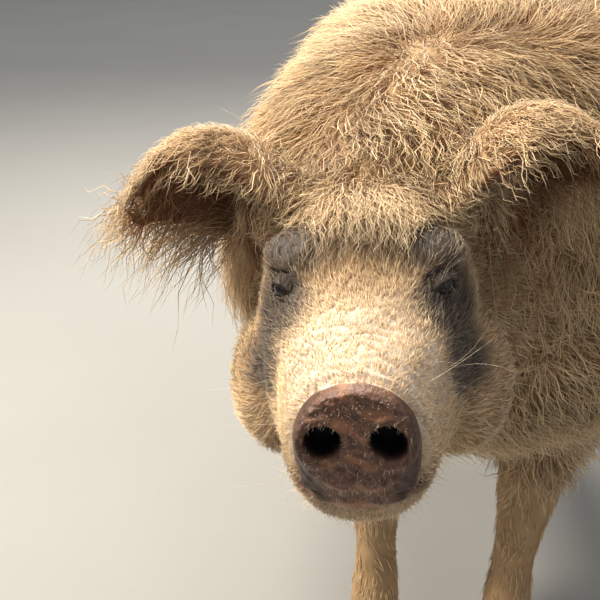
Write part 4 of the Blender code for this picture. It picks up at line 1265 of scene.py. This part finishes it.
class Coat:
    """Grows beds of solid tufts on the skin.

    Attributes:
        FLAT: A tuft's thickness as a share of its width.
        SINK: How deep a root lies under the skin.
        BATCH: How many roots are compared with the locks' middles at a time.
        RIVER: How strongly the coat's lie wanders in rivers, which are RIVER_WIDTH apart.
    """

    FLAT = 0.42
    SINK = 0.0012
    BATCH = 2000
    RIVER = 0.45
    RIVER_WIDTH = 0.075

    def __init__(self, ground: Ground) -> None:
        self.ground = ground

    def grow(self, bed: Bed, material: bpy.types.Material) -> list[bpy.types.Object]:
        """Grow one bed.

        Args:
            bed: The bed's sizes.
            material: Its hair.

        Returns:
            Its pieces.
        """
        rng = own_rng(bed.name)
        roots = self.ground.scatter(bed.count, bed.where(self.ground), rng)
        ways = self.comb(bed, roots, rng)
        lengths = bed.length * rng.uniform(0.65, 1.25, bed.count)
        if bed.stretch:
            lengths = lengths * bed.stretch(roots)
        paths, rises = self.paths(bed, roots, ways, lengths, rng)
        tone = 0.5 + 0.22 * rng.standard_normal(bed.count) + 0.18 * ripple(roots.points, 0.06, 0.4)
        tone = np.clip(tone, 0.0, 1.0)
        made = []
        order = np.argsort(roots.points[:, 1], kind="stable")
        for number, share in enumerate(np.array_split(order, bed.pieces)):
            name = bed.name if bed.pieces == 1 else f"{bed.name}_{number + 1}"
            piece = self.tufts(name, bed, share, roots, paths, rises, tone)
            piece.data.materials.append(material)
            made.append(settle(piece, "coat", *bed.nodes))
        return made

    def comb(self, bed: Bed, roots: Roots, rng: np.random.Generator) -> Array:
        """The way each hair starts, along the skin, with soft and with random straying."""
        ways = bed.lie(roots)
        river = self.RIVER * ripple(roots.points, self.RIVER_WIDTH, 0.6)
        ways = ways + np.cross(roots.normals, ways) * river[:, None]
        ways = ways + bed.stray * rng.standard_normal(ways.shape)
        ways -= roots.normals * (ways * roots.normals).sum(axis=1, keepdims=True)
        return unit(ways)

    def paths(self, bed: Bed, roots: Roots, ways: Array, lengths: Array,
              rng: np.random.Generator) -> tuple[Array, Array]:
        """The points of each hair from root to tip, and the ways that its broad side faces."""
        count = len(ways)
        pull = self.gathering(bed, roots, rng)
        phase = 3.0 * ripple(roots.points, 0.045, 0.8) + rng.uniform(-0.9, 0.9, count)
        rate = 2.0 * math.pi * lengths / bed.wavelength * rng.uniform(0.8, 1.2, count)
        place, normal, way = roots.points.copy(), roots.normals, ways
        rows, faces = [roots.points - normal * self.SINK], [normal]
        lift = bed.lift * rng.uniform(0.6, 1.4, count)
        for k in range(1, bed.steps + 1):
            t = k / bed.steps
            place = place + way * (lengths / bed.steps)[:, None]
            if bed.follows:
                place, near = self.ground.nearest(place)
                normal = unit(normal * 0.4 + near * 0.6)
                way = unit(way - normal * (way * normal).sum(axis=1, keepdims=True))
            side = np.cross(normal, way)
            swing = bed.wave * t ** 0.6
            offset = side * (swing * np.sin(rate * t + phase))[:, None]
            rise = lengths * lift * t ** 0.8 + 0.6 * swing * (1.0 + np.cos(rate * t + phase))
            offset += normal * rise[:, None]
            offset += pull * (t * bed.gather)
            offset[:, 2] -= bed.droop * lengths * t * t
            rows.append(place + offset)
            faces.append(normal)
        return np.stack(rows, axis=1), np.stack(faces, axis=1)

    def gathering(self, bed: Bed, roots: Roots, rng: np.random.Generator) -> Array:
        """How far each root is from the middle of the lock that it gathers into."""
        count = len(roots.points)
        middles = roots.points[rng.choice(count, max(count // bed.locks, 1), replace=False)]
        near = np.empty(count, dtype=int)
        for start in range(0, count, self.BATCH):
            part = roots.points[start:start + self.BATCH]
            away = (part ** 2).sum(axis=1)[:, None] - 2.0 * part @ middles.T
            away += (middles ** 2).sum(axis=1)[None]
            near[start:start + self.BATCH] = away.argmin(axis=1)
        return middles[near] - roots.points

    def tufts(self, name: str, bed: Bed, share: Array, roots: Roots, paths: Array, rises: Array,
              tone: Array) -> bpy.types.Object:
        """One piece of closed three-sided tufts that taper to their tips."""
        path, rise = paths[share], rises[share]
        count, rings = path.shape[0], path.shape[1]
        along = unit(np.gradient(path, axis=1))
        side = unit(np.cross(along, rise))
        up = np.cross(side, along)
        t = np.arange(rings) / (rings - 1)
        taper = 0.80 + 0.55 * t - 1.30 * t ** 2.2
        half = (0.5 * bed.width * (0.75 + 0.5 * tone[share, None]) * taper[None])[:, :-1, None]
        body, side, up = path[:, :-1], side[:, :-1] * half, up[:, :-1] * half * self.FLAT
        left, right, top = body + side - up * 0.6, body - side - up * 0.6, body + up * 1.4
        grid = np.stack([left, right, top], axis=2).reshape(count, -1, 3)
        points = np.concatenate([grid, path[:, -1:]], axis=1)
        per = points.shape[1]
        faces = [(0, 1, 2)]
        for ring in range(rings - 2):
            a, b = 3 * ring, 3 * ring + 3
            for i in range(3):
                j = (i + 1) % 3
                faces += [(a + i, b + i, b + j), (a + i, b + j, a + j)]
        last = 3 * (rings - 2)
        faces += [(last + i, per - 1, last + (i + 1) % 3) for i in range(3)]
        faces = np.array(faces)
        whole = (faces[None] + (np.arange(count) * per)[:, None, None]).reshape(-1, 3)
        flat = points.reshape(-1, 3)
        a, b, c = (flat[whole[:, k]] - flat.mean(axis=0) for k in range(3))
        if (a * np.cross(b, c)).sum() < 0.0:
            whole = whole[:, ::-1]
        level = np.concatenate([np.repeat(t[:-1], 3), [1.0]])
        masks = {label: roots.masks[label][share] for label in ("patch", "ear", "muzzle", "disc")}
        # The hair greys where the patches lie, so it carries their painted shade too.
        grey = np.clip(masks["patch"] * 0.92 + masks["disc"] * 0.4, 0.0, 1.0)
        # The ear cups' inner side takes the reddish brown as painted shade.
        rust_and_shade = np.clip(bed.rust_and_shade + 0.8 * masks["ear"], 0.0, 1.0) * np.ones(count)
        # Hair is lighter where the muzzle mask is strong, so the muzzle's top carries its painted light
        # into the hair too.
        layers = {
            "along": np.tile(level, count),
            "tone": np.repeat(np.clip(tone[share] + 0.10 * masks["muzzle"], 0.0, 1.0), per),
            "grey": np.repeat(grey, per),
            "rust_and_shade": np.repeat(rust_and_shade, per),
        }
        piece = triangles_object(name, flat, whole, layers)
        bake_map(piece, roots.points[share], roots.normals[share], (np.arange(per) % 3) / 2.0, level)
        return piece


def on_ear(ground: Ground) -> Array:
    """The share of the ears."""
    return ground.masks["is_ear"]


def ear_bed(ground: Ground) -> Array:
    """The ears, thinner inside their cups."""
    return ground.masks["is_ear"] * (1.0 - 0.8 * ground.masks["ear"])


def on_head(ground: Ground) -> Array:
    """The share of the head, from the snout to the crown, without the ears."""
    local = HEAD.local(ground.points)
    return (1.0 - blend(local[:, 1], 0.32, 0.40)) * (ground.points[:, 1] < -0.30) * (1.0 - on_ear(ground))


def crown_share(points: Array) -> Array:
    """How much a point belongs to the crown, which the long coat covers."""
    _, y, z = HEAD.local(points).T
    top = blend(z + 0.10 * (y - 0.26), 0.088, 0.118) * blend(y, 0.225, 0.265)
    return top * (points[:, 1] < -0.25)


def body_bed(ground: Ground) -> Array:
    """The trunk and upper legs."""
    local = HEAD.local(ground.points)
    behind = np.where(ground.points[:, 1] < -0.05, blend(local[:, 1], 0.40, 0.62), 1.0)
    tail = (ground.points[:, 1] > 0.655) & (np.abs(ground.points[:, 0]) < 0.06)
    seen = 1.35 - 0.50 * blend(ground.points[:, 1], 0.0, 0.25)
    return seen * behind * blend(ground.points[:, 2], 0.26, 0.36) * (1.0 - on_ear(ground)) * ~tail


def neck_bed(ground: Ground) -> Array:
    """The neck, breast and crown."""
    y = HEAD.local(ground.points)[:, 1]
    neck = blend(y, 0.30, 0.40) * (1.0 - blend(y, 0.50, 0.70)) * (ground.points[:, 1] < 0.06)
    neck = np.maximum(neck, crown_share(ground.points))
    return neck * blend(ground.points[:, 2], 0.30, 0.40) * (1.0 - on_ear(ground))


def face_bed(ground: Ground) -> Array:
    """The brow and cheeks, without the muzzle, lids and crown."""
    local = HEAD.local(ground.points)
    face = on_head(ground) * (1.0 - 0.7 * crown_share(ground.points)) * blend(local[:, 1], 0.10, 0.16)
    return face * (1.0 - ground.masks["hollow"]) * (0.10 + 0.90 * lid_free(ground.points))


def muzzle_bed(ground: Ground) -> Array:
    """The muzzle and chin, without the disc."""
    local = HEAD.local(ground.points)
    share = on_head(ground) * (1.0 - blend(local[:, 1], 0.13, 0.19)) * blend(local[:, 1], 0.0155, 0.0205)
    return share * (1.0 - blend(ground.masks["hollow"], 0.1, 0.4))


def lid_free(points: Array) -> Array:
    """0 at the lids, where hair would cover the eye, and 1 away from them."""
    free = np.ones(len(points))
    for side in SIDES:
        free = np.minimum(free, blend(np.linalg.norm(points - FACE.eye(side)[0], axis=1), 0.0105, 0.0140))
    return free


def legs_bed(ground: Ground) -> Array:
    """The lower legs."""
    return (1.0 - blend(ground.points[:, 2], 0.30, 0.40)) * blend(ground.points[:, 2], 0.046, 0.052)


def tail_bed(ground: Ground) -> Array:
    """The tail below its root."""
    x, y, z = ground.points.T
    tail = ((y > 0.64) & (np.abs(x) < 0.06) & (z > 0.44)).astype(float)
    return tail * (1.0 + 6.0 * (1.0 - blend(z, 0.50, 0.58)))


def forelock_bed(ground: Ground) -> Array:
    """The patch between the ears from which the forelock falls."""
    x, y, z = HEAD.local(ground.points).T
    spot = np.exp(-((x - 0.002) / 0.030) ** 2 - ((y - 0.262) / 0.022) ** 2)
    return spot * (z > 0.06) * (ground.points[:, 1] < -0.3)


def ear_long(roots: Roots) -> Array:
    """Ear hair is longest at the rim and tip and short inside the cup."""
    local = roots.local
    t = ear_run(np.abs(local[:, 0]))
    low = np.zeros(len(t))
    for side in SIDES:
        middle, radius = FLESH.ear_line(side, t)
        under = blend(middle[:, 2] - local[:, 2], 0.25 * radius, 0.9 * radius)
        low = np.where(local[:, 0] * side > 0.0, under, low)
    return (0.55 + 0.70 * t) * (1.0 - 0.55 * roots.masks["ear"] * (1.0 - low)) * (1.0 + 1.3 * low)


def neck_long(roots: Roots) -> Array:
    """The crown's hair shortens towards the brow."""
    return 0.42 + 0.58 * blend(roots.local[:, 1], 0.24, 0.42)


def body_long(roots: Roots) -> Array:
    """Body hair shortens down the legs."""
    return 0.40 + 0.60 * blend(roots.points[:, 2], 0.30, 0.50)


def tail_long(roots: Roots) -> Array:
    """The switch at the tail's end is long."""
    return 0.45 + 1.15 * (1.0 - blend(roots.points[:, 2], 0.50, 0.60))


def face_long(roots: Roots) -> Array:
    """Face hair lengthens from the eyes back and down to the jowl."""
    _, y, z = roots.local.T
    return 0.55 + 0.45 * blend(y, 0.14, 0.26) + 0.35 * blend(-z, 0.0, 0.10)


FLESH = Flesh()
FACE = Face(FLESH)

BEDS = (
    Bed("coat_body", ("torso", "neck"), 23500, 0.066, 0.0015, 4, body_bed, coat_lie, lift=0.20, wave=0.0048,
        wavelength=0.036, gather=0.45, locks=14, pieces=4, stretch=body_long, stray=0.22),
    Bed("coat_neck", ("neck", "head"), 17000, 0.058, 0.0012, 4, neck_bed, coat_lie, lift=0.32, wave=0.0042,
        wavelength=0.030, gather=0.45, locks=16, pieces=2, stretch=neck_long, stray=0.26),
    Bed("coat_face", ("head",), 14000, 0.018, 0.0008, 3, face_bed, face_lie, lift=0.22, wave=0.0010,
        wavelength=0.020, gather=0.25, locks=6, pieces=2, stretch=face_long, stray=0.22),
    Bed("coat_muzzle", ("head",), 12000, 0.0085, 0.00055, 2, muzzle_bed, face_lie, lift=0.28, wave=0.0002,
        wavelength=0.020, gather=0.1, locks=6, stray=0.30),
    Bed("coat_ears", ("ear_left", "ear_right"), 5200, 0.046, 0.0010, 5, ear_bed, ear_lie, lift=0.16,
        wave=0.0050, wavelength=0.026, gather=0.50, locks=14, droop=0.42, follows=False, stretch=ear_long,
        stray=0.30, rust_and_shade=0.12),
    Bed("coat_legs", ("leg_front_left", "leg_front_right", "leg_hind_left", "leg_hind_right"), 4800, 0.022,
        0.0013, 3, legs_bed, coat_lie, lift=0.12, wave=0.0008, wavelength=0.03, gather=0.2, locks=6,
        stray=0.15),
    Bed("coat_forelock", ("head",), 900, 0.050, 0.0010, 5, forelock_bed, coat_lie, lift=0.30, wave=0.0040,
        wavelength=0.022, gather=0.55, locks=14, droop=0.15, stray=0.28),
    Bed("coat_tail", ("tail",), 1300, 0.040, 0.0014, 4, tail_bed, tail_lie, lift=0.20, wave=0.0050,
        wavelength=0.03, gather=0.3, locks=10, droop=0.10, follows=False, stretch=tail_long),
)


# Bristles.


class BristleSpot(Enum):
    """Where stiff single bristles grow."""

    DISC = "bristles_disc"
    CHIN = "bristles_chin"
    CHEEK = "bristles_cheek"
    LASHES = "bristles_lashes"


@dataclass(frozen=True)
class Bristles:
    """Stiff single hairs, made by Geometry Nodes on points that carry their way and size.

    Attributes:
        SINK: How deep a root lies under the skin.
        SIZES: The smallest and largest share of the full length.
        LOOK: The values that the hair's material reads, the same on every bristle.
        length: A full bristle's length.
        root_radius: Its radius at the root.
        bend: How far its tip bends aside, as a share of its length.
        seed: The seed of each bristle's turn about its own way.
    """

    SINK = 0.0008
    SIZES = (0.45, 1.2)
    LOOK = (("along", 0.75), ("tone", 0.85), ("grey", 0.0), ("rust_and_shade", 0.0))

    length: float
    root_radius: float
    bend: float
    seed: int

    def settings(self) -> dict[str, float]:
        """The tree's inputs and their values."""
        return {"Length": self.length, "Root Radius": self.root_radius, "Bend": self.bend,
                "Seed": self.seed}

    def tree(self, name: str, material: bpy.types.Material) -> bpy.types.NodeTree:
        """The tree: a bent tapered hair, set on every point and turned to its way."""
        tree = bpy.data.node_groups.new(name, "GeometryNodeTree")
        face = tree.interface
        face.new_socket("Geometry", in_out="INPUT", socket_type="NodeSocketGeometry")
        for label, value in self.settings().items():
            kind = "NodeSocketInt" if label == "Seed" else "NodeSocketFloat"
            face.new_socket(label, in_out="INPUT", socket_type=kind).default_value = value
        face.new_socket("Geometry", in_out="OUTPUT", socket_type="NodeSocketGeometry")
        nodes = Nodes(tree)
        given, out = nodes.add("NodeGroupInput"), nodes.add("NodeGroupOutput")
        end = nodes.add("ShaderNodeCombineXYZ", {"Z": given.outputs["Length"]}).outputs[0]
        line = nodes.add("GeometryNodeCurvePrimitiveLine", {"End": end}).outputs[0]
        line = nodes.add("GeometryNodeResampleCurve", {"Curve": line, "Count": 6}).outputs[0]
        t = nodes.add("GeometryNodeSplineParameter").outputs["Factor"]
        shift = nodes.math("MULTIPLY", nodes.math("MULTIPLY", t, t),
                           nodes.math("MULTIPLY", given.outputs["Bend"], given.outputs["Length"]))
        offset = nodes.add("ShaderNodeCombineXYZ", {"X": shift}).outputs[0]
        line = nodes.add("GeometryNodeSetPosition", {"Geometry": line, "Offset": offset}).outputs[0]
        thin = nodes.math("MULTIPLY", nodes.math("SUBTRACT", 1.0, nodes.math("MULTIPLY", t, 0.92)),
                          given.outputs["Root Radius"])
        line = nodes.add("GeometryNodeSetCurveRadius", {"Curve": line, "Radius": thin}).outputs[0]
        ring = nodes.add("GeometryNodeCurvePrimitiveCircle", {"Resolution": 4, "Radius": 1.0}).outputs[0]
        swept = {"Curve": line, "Profile Curve": ring, "Fill Caps": True}
        sweep = nodes.add("GeometryNodeCurveToMesh", swept)
        if "Scale" in sweep.inputs:
            nodes.fill(sweep, {"Scale": thin})
        read = "GeometryNodeInputNamedAttribute"
        way = nodes.add(read, {"Name": "way"}, data_type="FLOAT_VECTOR").outputs[0]
        size = nodes.add(read, {"Name": "size"}, data_type="FLOAT").outputs[0]
        turn = nodes.add("FunctionNodeAlignRotationToVector", {"Vector": way}, axis="Z").outputs[0]
        spins = {"Min": (0.0, 0.0, 0.0), "Max": (0.0, 0.0, 6.283), "Seed": given.outputs["Seed"]}
        spin = nodes.add("FunctionNodeRandomValue", spins, data_type="FLOAT_VECTOR").outputs[0]
        turns = {0: turn, 1: spin}
        turn = nodes.add("FunctionNodeRotateRotation", turns, rotation_space="LOCAL").outputs[0]
        planted = {"Points": given.outputs["Geometry"], "Instance": sweep.outputs[0], "Rotation": turn,
                   "Scale": size}
        grown = nodes.add("GeometryNodeInstanceOnPoints", planted).outputs[0]
        solid = nodes.add("GeometryNodeRealizeInstances", {"Geometry": grown}).outputs[0]
        painted = nodes.add("GeometryNodeSetMaterial", {"Geometry": solid, "Material": material})
        nodes.fill(out, {"Geometry": painted.outputs[0]})
        return tree

    def grow(self, spot: BristleSpot, roots: Roots, ways: Array,
             material: bpy.types.Material) -> bpy.types.Object:
        """Grow a bristle on every point.

        Args:
            spot: Where the bristles are, which names the piece.
            roots: Where they grow.
            ways: The way that each stands.
            material: Their hair.

        Returns:
            The piece.
        """
        rng = own_rng(spot.value)
        count = len(roots.points)
        mesh = bpy.data.meshes.new(spot.value)
        mesh.from_pydata((roots.points - roots.normals * self.SINK).tolist(), [], [])
        layer = mesh.attributes.new("way", "FLOAT_VECTOR", "POINT")
        layer.data.foreach_set("vector", ways.astype(np.float32).ravel())
        point_layer(mesh, "size", rng.uniform(*self.SIZES, count))
        piece = linked(spot.value, mesh)
        modifier = piece.modifiers.new("bristles", "NODES")
        modifier.node_group = self.tree(spot.value, material)
        values = self.settings()
        for item in modifier.node_group.interface.items_tree:
            if item.name in values:
                modifier[item.identifier] = values[item.name]
        apply_modifiers(piece)
        for label, value in self.LOOK:
            point_layer(piece.data, label, np.full(len(piece.data.vertices), value))
        level = np.linspace(0.0, 1.0, len(piece.data.vertices) // count)
        bake_map(piece, roots.points, roots.normals, np.zeros(len(level)), level)
        return settle(piece, "coat")


def bristle_share(spot: BristleSpot, ground: Ground) -> Array:
    """Where a spot's bristles grow, as a density at each of the skin's points."""
    x, y, z = HEAD.local(ground.points).T
    clear = 1.0 - blend(ground.masks["hollow"], 0.05, 0.3)
    if spot is BristleSpot.DISC:
        return clear * (y < 0.020)
    if spot is BristleSpot.CHIN:
        return clear * (y > 0.02) * (1.0 - blend(y, 0.07, 0.12)) * blend(-z, 0.045, 0.065)
    if spot is BristleSpot.CHEEK:
        return clear * (y > 0.05) * (1.0 - blend(y, 0.10, 0.16)) * blend(np.abs(x), 0.05, 0.07)
    share = np.zeros(len(x))
    for side in SIDES:
        middle, way, radius = FACE.eye(side)
        rel = ground.points - middle
        high = rel @ HEAD.way(0.0, 0.0, 1.0)
        near = np.linalg.norm(rel, axis=1)
        share = np.maximum(share, (near < radius * 1.35) * blend(high, 0.003, 0.006) * (rel @ way > 0.0))
    return share


BRISTLES = {
    BristleSpot.DISC: (Bristles(0.0042, 0.00013, 0.30, 3), 900, 0.9),
    BristleSpot.CHIN: (Bristles(0.013, 0.00018, 0.45, 5), 500, 0.55),
    BristleSpot.CHEEK: (Bristles(0.055, 0.00014, 0.50, 7), 14, 0.9),
    BristleSpot.LASHES: (Bristles(0.016, 0.00013, 0.40, 9), 18, 0.6),
}


def grow_bristles(ground: Ground, material: bpy.types.Material) -> None:
    """Grow every spot's bristles."""
    for spot, (bristles, count, upright) in BRISTLES.items():
        rng = own_rng("roots_" + spot.value)
        roots = ground.scatter(count, bristle_share(spot, ground), rng)
        ways = face_lie(roots)
        ways = roots.normals * upright + ways * (1.0 - upright) + 0.22 * rng.standard_normal(ways.shape)
        bristles.grow(spot, roots, unit(ways), material)


# Eyes and hooves.


@dataclass(frozen=True)
class Eyeball:
    """A wet eyeball with a low cornea, in the CAD eye's place.

    Attributes:
        cornea: How far the cornea stands out, as a share of the eye's radius.
        cornea_spread: The angle over which it falls away, in radians.
        ring_span: The angle from the pupil's middle at which the ring that colours the eye reaches 1.
    """

    rings: int = 28
    spokes: int = 40
    cornea: float = 0.05
    cornea_spread: float = 0.45
    ring_span: float = math.radians(60.0)

    def build(self, side: float, material: bpy.types.Material) -> bpy.types.Object:
        """Build one eye.

        Args:
            side: 1 for the pig's left, -1 for its right.
            material: The eye's finish.

        Returns:
            The eyeball.
        """
        middle, way, radius = FACE.eye(side)
        turn = Vector(way).to_track_quat("Z", "Y").to_matrix()
        bm = bmesh.new()
        bmesh.ops.create_uvsphere(bm, u_segments=self.spokes, v_segments=self.rings, radius=1.0)
        angles = []
        for vert in bm.verts:
            angle = math.acos(max(-1.0, min(1.0, vert.co.z)))
            angles.append(angle)
            bulge = 1.0 + self.cornea * math.exp(-(angle / self.cornea_spread) ** 2)
            vert.co = Vector(middle) + turn @ (vert.co * radius * bulge)
        piece = as_object(f"eyeball_{SIDE_NAMES[side]}", bm)
        point_layer(piece.data, "ring", np.array(angles) / self.ring_span)
        shade_smooth(piece)
        piece.data.materials.append(material)
        return settle(piece, "eye", f"eye_{SIDE_NAMES[side]}")


@dataclass(frozen=True)
class Hooves:
    """The cloven hooves, each two claws with growth rings, and the dewclaws behind them.

    Attributes:
        profile: A claw's rows from the sole up, as (height, share of the full size, shift to the back).
        inner_wall: How far a claw reaches towards the cleft, as a share of its width.
        foot_shift: How far the claws' middles lie before the leg's last row.
        spur_side: How far a dewclaw stands beside the leg's middle.
        spur_back: How far it stands behind the leg's middle.
        spur_reach: Its length to the back, over which it hangs lower by spur_droop.
        spur_profile: A dewclaw's rows, as (share of its length, radius).
    """

    length: float = 0.078
    width: float = 0.036
    cleft: float = 0.005
    spokes: int = 40
    steps: int = 4
    profile: tuple = ((0.0, 0.93, -0.006), (0.0025, 1.0, -0.006), (0.012, 0.985, -0.003),
                      (0.024, 0.95, 0.001), (0.036, 0.89, 0.005), (0.046, 0.83, 0.009),
                      (0.052, 0.74, 0.011))
    ring_height: float = 0.0004
    ring_pitch: float = 2.1
    toe_narrowing: float = 0.34
    inner_wall: float = 0.46
    foot_shift: float = 0.008
    spur_side: float = 0.019
    spur_back: float = 0.021
    spur_height: float = 0.088
    spur_reach: float = 0.030
    spur_droop: float = 0.016
    spur_spokes: int = 20
    spur_steps: int = 3
    spur_profile: tuple = ((0.0, 0.0100), (0.3, 0.0100), (0.6, 0.0088), (0.85, 0.0066), (1.0, 0.0034))

    def claw(self, name: str, x: float, y: float, way: float) -> bpy.types.Object:
        """One half of a hoof, flat below, with a pointed toe."""
        middle = 0.5 * self.width + 0.5 * self.cleft
        rings = []
        for row, (z, grow, shift) in enumerate(smooth_rows(self.profile, self.steps)):
            growth_ring = self.ring_height / self.width * math.sin(row * self.ring_pitch) * (row > 2)
            grow = grow * (1.0 + growth_ring)
            ring = []
            for k in range(self.spokes):
                turn = 2.0 * math.pi * k / self.spokes
                wide = math.cos(turn) * 0.5 * self.width * grow
                long = math.sin(turn) * 0.5 * self.length * grow
                narrow = 1.0 - self.toe_narrowing * float(blend(-long, 0.0, 0.5 * self.length))
                across = middle + max(wide * narrow, -self.inner_wall * self.width)
                ring.append(Vector((x + way * across, y + shift + long, max(z, 0.0))))
            rings.append(ring)
        return loft(name, rings)

    def dewclaw(self, name: str, x: float, y: float) -> bpy.types.Object:
        """A small blunt horn behind the fetlock."""
        turns = [2.0 * math.pi * k / self.spur_spokes for k in range(self.spur_spokes)]
        rings = []
        for t, radius in smooth_rows(self.spur_profile, self.spur_steps):
            middle = Vector((x, y + self.spur_reach * t, self.spur_height - self.spur_droop * t))
            rings.append([middle + Vector((math.cos(a) * radius, 0.0, math.sin(a) * radius))
                          for a in turns])
        return loft(name, rings)

    def build(self, material: bpy.types.Material) -> None:
        """Build all eight claws and eight dewclaws."""
        for place, rows in (("front", FLESH.foreleg), ("hind", FLESH.hindleg)):
            out, y = rows[-1][:2]
            for side in SIDES:
                x = out * side
                for half, way in (("outer", side), ("inner", -side)):
                    tag = f"{place}_{SIDE_NAMES[side]}_{half}"
                    horn = self.claw(f"horn_{tag}", x, y - self.foot_shift, way)
                    spur = self.dewclaw(f"spur_{tag}", x + way * self.spur_side, y + self.spur_back)
                    for piece, node in ((horn, f"hoof_{tag}"), (spur, f"dewclaw_{tag}")):
                        shade_smooth(piece)
                        piece.data.materials.append(material)
                        settle(piece, "hoof_horn", node)


# The studio.


@dataclass(frozen=True)
class Studio:
    """The camera, soft lights and a plain pale floor.

    Attributes:
        eye: Where the camera stands, in the modelling frame.
        azimuth_deg: How far the view comes from the pig's left, about the vertical.
        pitch_deg: How far it looks down.
        lights: Each light's name, place, aim, size, power and colour.
        sky: The surround's colour, and sky_strength its brightness.
    """

    eye: tuple = (-0.045, -1.11, 0.945)
    azimuth_deg: float = 9.5
    pitch_deg: float = 24.9
    lens: float = 50.5
    sensor: float = 36.0
    far_end: float = 200.0
    floor_size: float = 40.0
    sky: Colour = (0.80, 0.85, 0.92)
    sky_strength: float = 0.30
    lights: tuple = (
        ("key", (-2.1, -0.5, 2.5), (-0.05, -0.45, 0.60), 0.5, 150.0, (1.0, 0.93, 0.81)),
        ("fill", (2.2, -2.2, 1.5), (0.0, -0.40, 0.60), 2.2, 7.0, (0.93, 0.96, 1.0)),
        ("back", (-0.6, 2.0, 2.8), (0.0, 0.0, 0.80), 0.9, 110.0, (1.0, 0.94, 0.84)),
        ("ceiling", (0.0, 5.0, 8.0), (0.0, 5.0, 0.0), 16.0, 800.0, (1.0, 0.98, 0.95)),
    )

    def place_camera(self) -> None:
        """Create the camera at the photograph's angle."""
        data = bpy.data.cameras.new("photo_camera")
        data.lens = self.lens
        data.sensor_width = self.sensor
        data.clip_end = self.far_end
        camera = linked("photo_camera", data)
        az, pitch = math.radians(self.azimuth_deg), math.radians(self.pitch_deg)
        back = Vector((math.sin(az) * math.cos(pitch), -math.cos(az) * math.cos(pitch), math.sin(pitch)))
        right = Vector((math.cos(az), math.sin(az), 0.0))
        up = back.cross(right)
        turn = Matrix((right, up, back)).transposed().to_4x4()
        camera.matrix_world = Matrix.Translation(Vector(self.eye) - GROUND_MIDDLE) @ turn
        bpy.context.scene.camera = camera

    def place_lights(self) -> None:
        """Create the lights and the pale surround."""
        for name, place, aim, size, power, colour in self.lights:
            data = bpy.data.lights.new(name, "AREA")
            data.size = size
            data.energy = power
            data.color = colour
            light = linked(name, data)
            light.location = place
            light.rotation_euler = (Vector(aim) - Vector(place)).to_track_quat("-Z", "Y").to_euler()
        world = bpy.data.worlds.new("studio")
        world.use_nodes = True
        surround = world.node_tree.nodes["Background"]
        surround.inputs["Color"].default_value = rgba(self.sky)
        surround.inputs["Strength"].default_value = self.sky_strength
        bpy.context.scene.world = world
        bpy.context.scene.view_settings.view_transform = "Standard"

    def place_floor(self, material: bpy.types.Material) -> None:
        """Create the floor."""
        bm = bmesh.new()
        bmesh.ops.create_grid(bm, x_segments=1, y_segments=1, size=self.floor_size / 2.0)
        floor = as_object("studio_floor", bm)
        if floor.data.polygons[0].normal.z < 0.0:
            floor.data.flip_normals()
        floor.data.materials.append(material)


def main() -> None:
    """Build the studio and the pig, piece by piece."""
    logging.basicConfig(level=logging.INFO, format="%(message)s")
    studio = Studio()
    studio.place_camera()
    studio.place_lights()
    mottle, hair_tree = mottle_group(), hair_group()
    studio.place_floor(FloorFinish("pale_floor", 0.75, 0.3).make(mottle))
    skin_finish = SkinFinish("pig_skin").make(mottle)
    hair = HairFinish("blond_hair").make(hair_tree)
    pale = HairFinish("pale_bristle", root=(0.62, 0.46, 0.30), tip=(0.80, 0.66, 0.46)).make(hair_tree)
    horn = HornFinish("hoof_horn").make(mottle)
    eye = EyeFinish("wet_eye", 0.22, 0.2).make()

    skin = FLESH.build()
    FACE.refine(skin)
    FACE.carve(skin)
    ground = Ground(skin, FACE)
    FACE.dress(skin, skin_finish)
    coat = Coat(ground)
    for bed in BEDS:
        coat.grow(bed, hair)
    grow_bristles(ground, pale)
    settle(skin, "coat", *FLESH_NODES)
    for side in SIDES:
        Eyeball().build(side, eye)
    Hooves().build(horn)


if __name__ == "__main__":
    main()
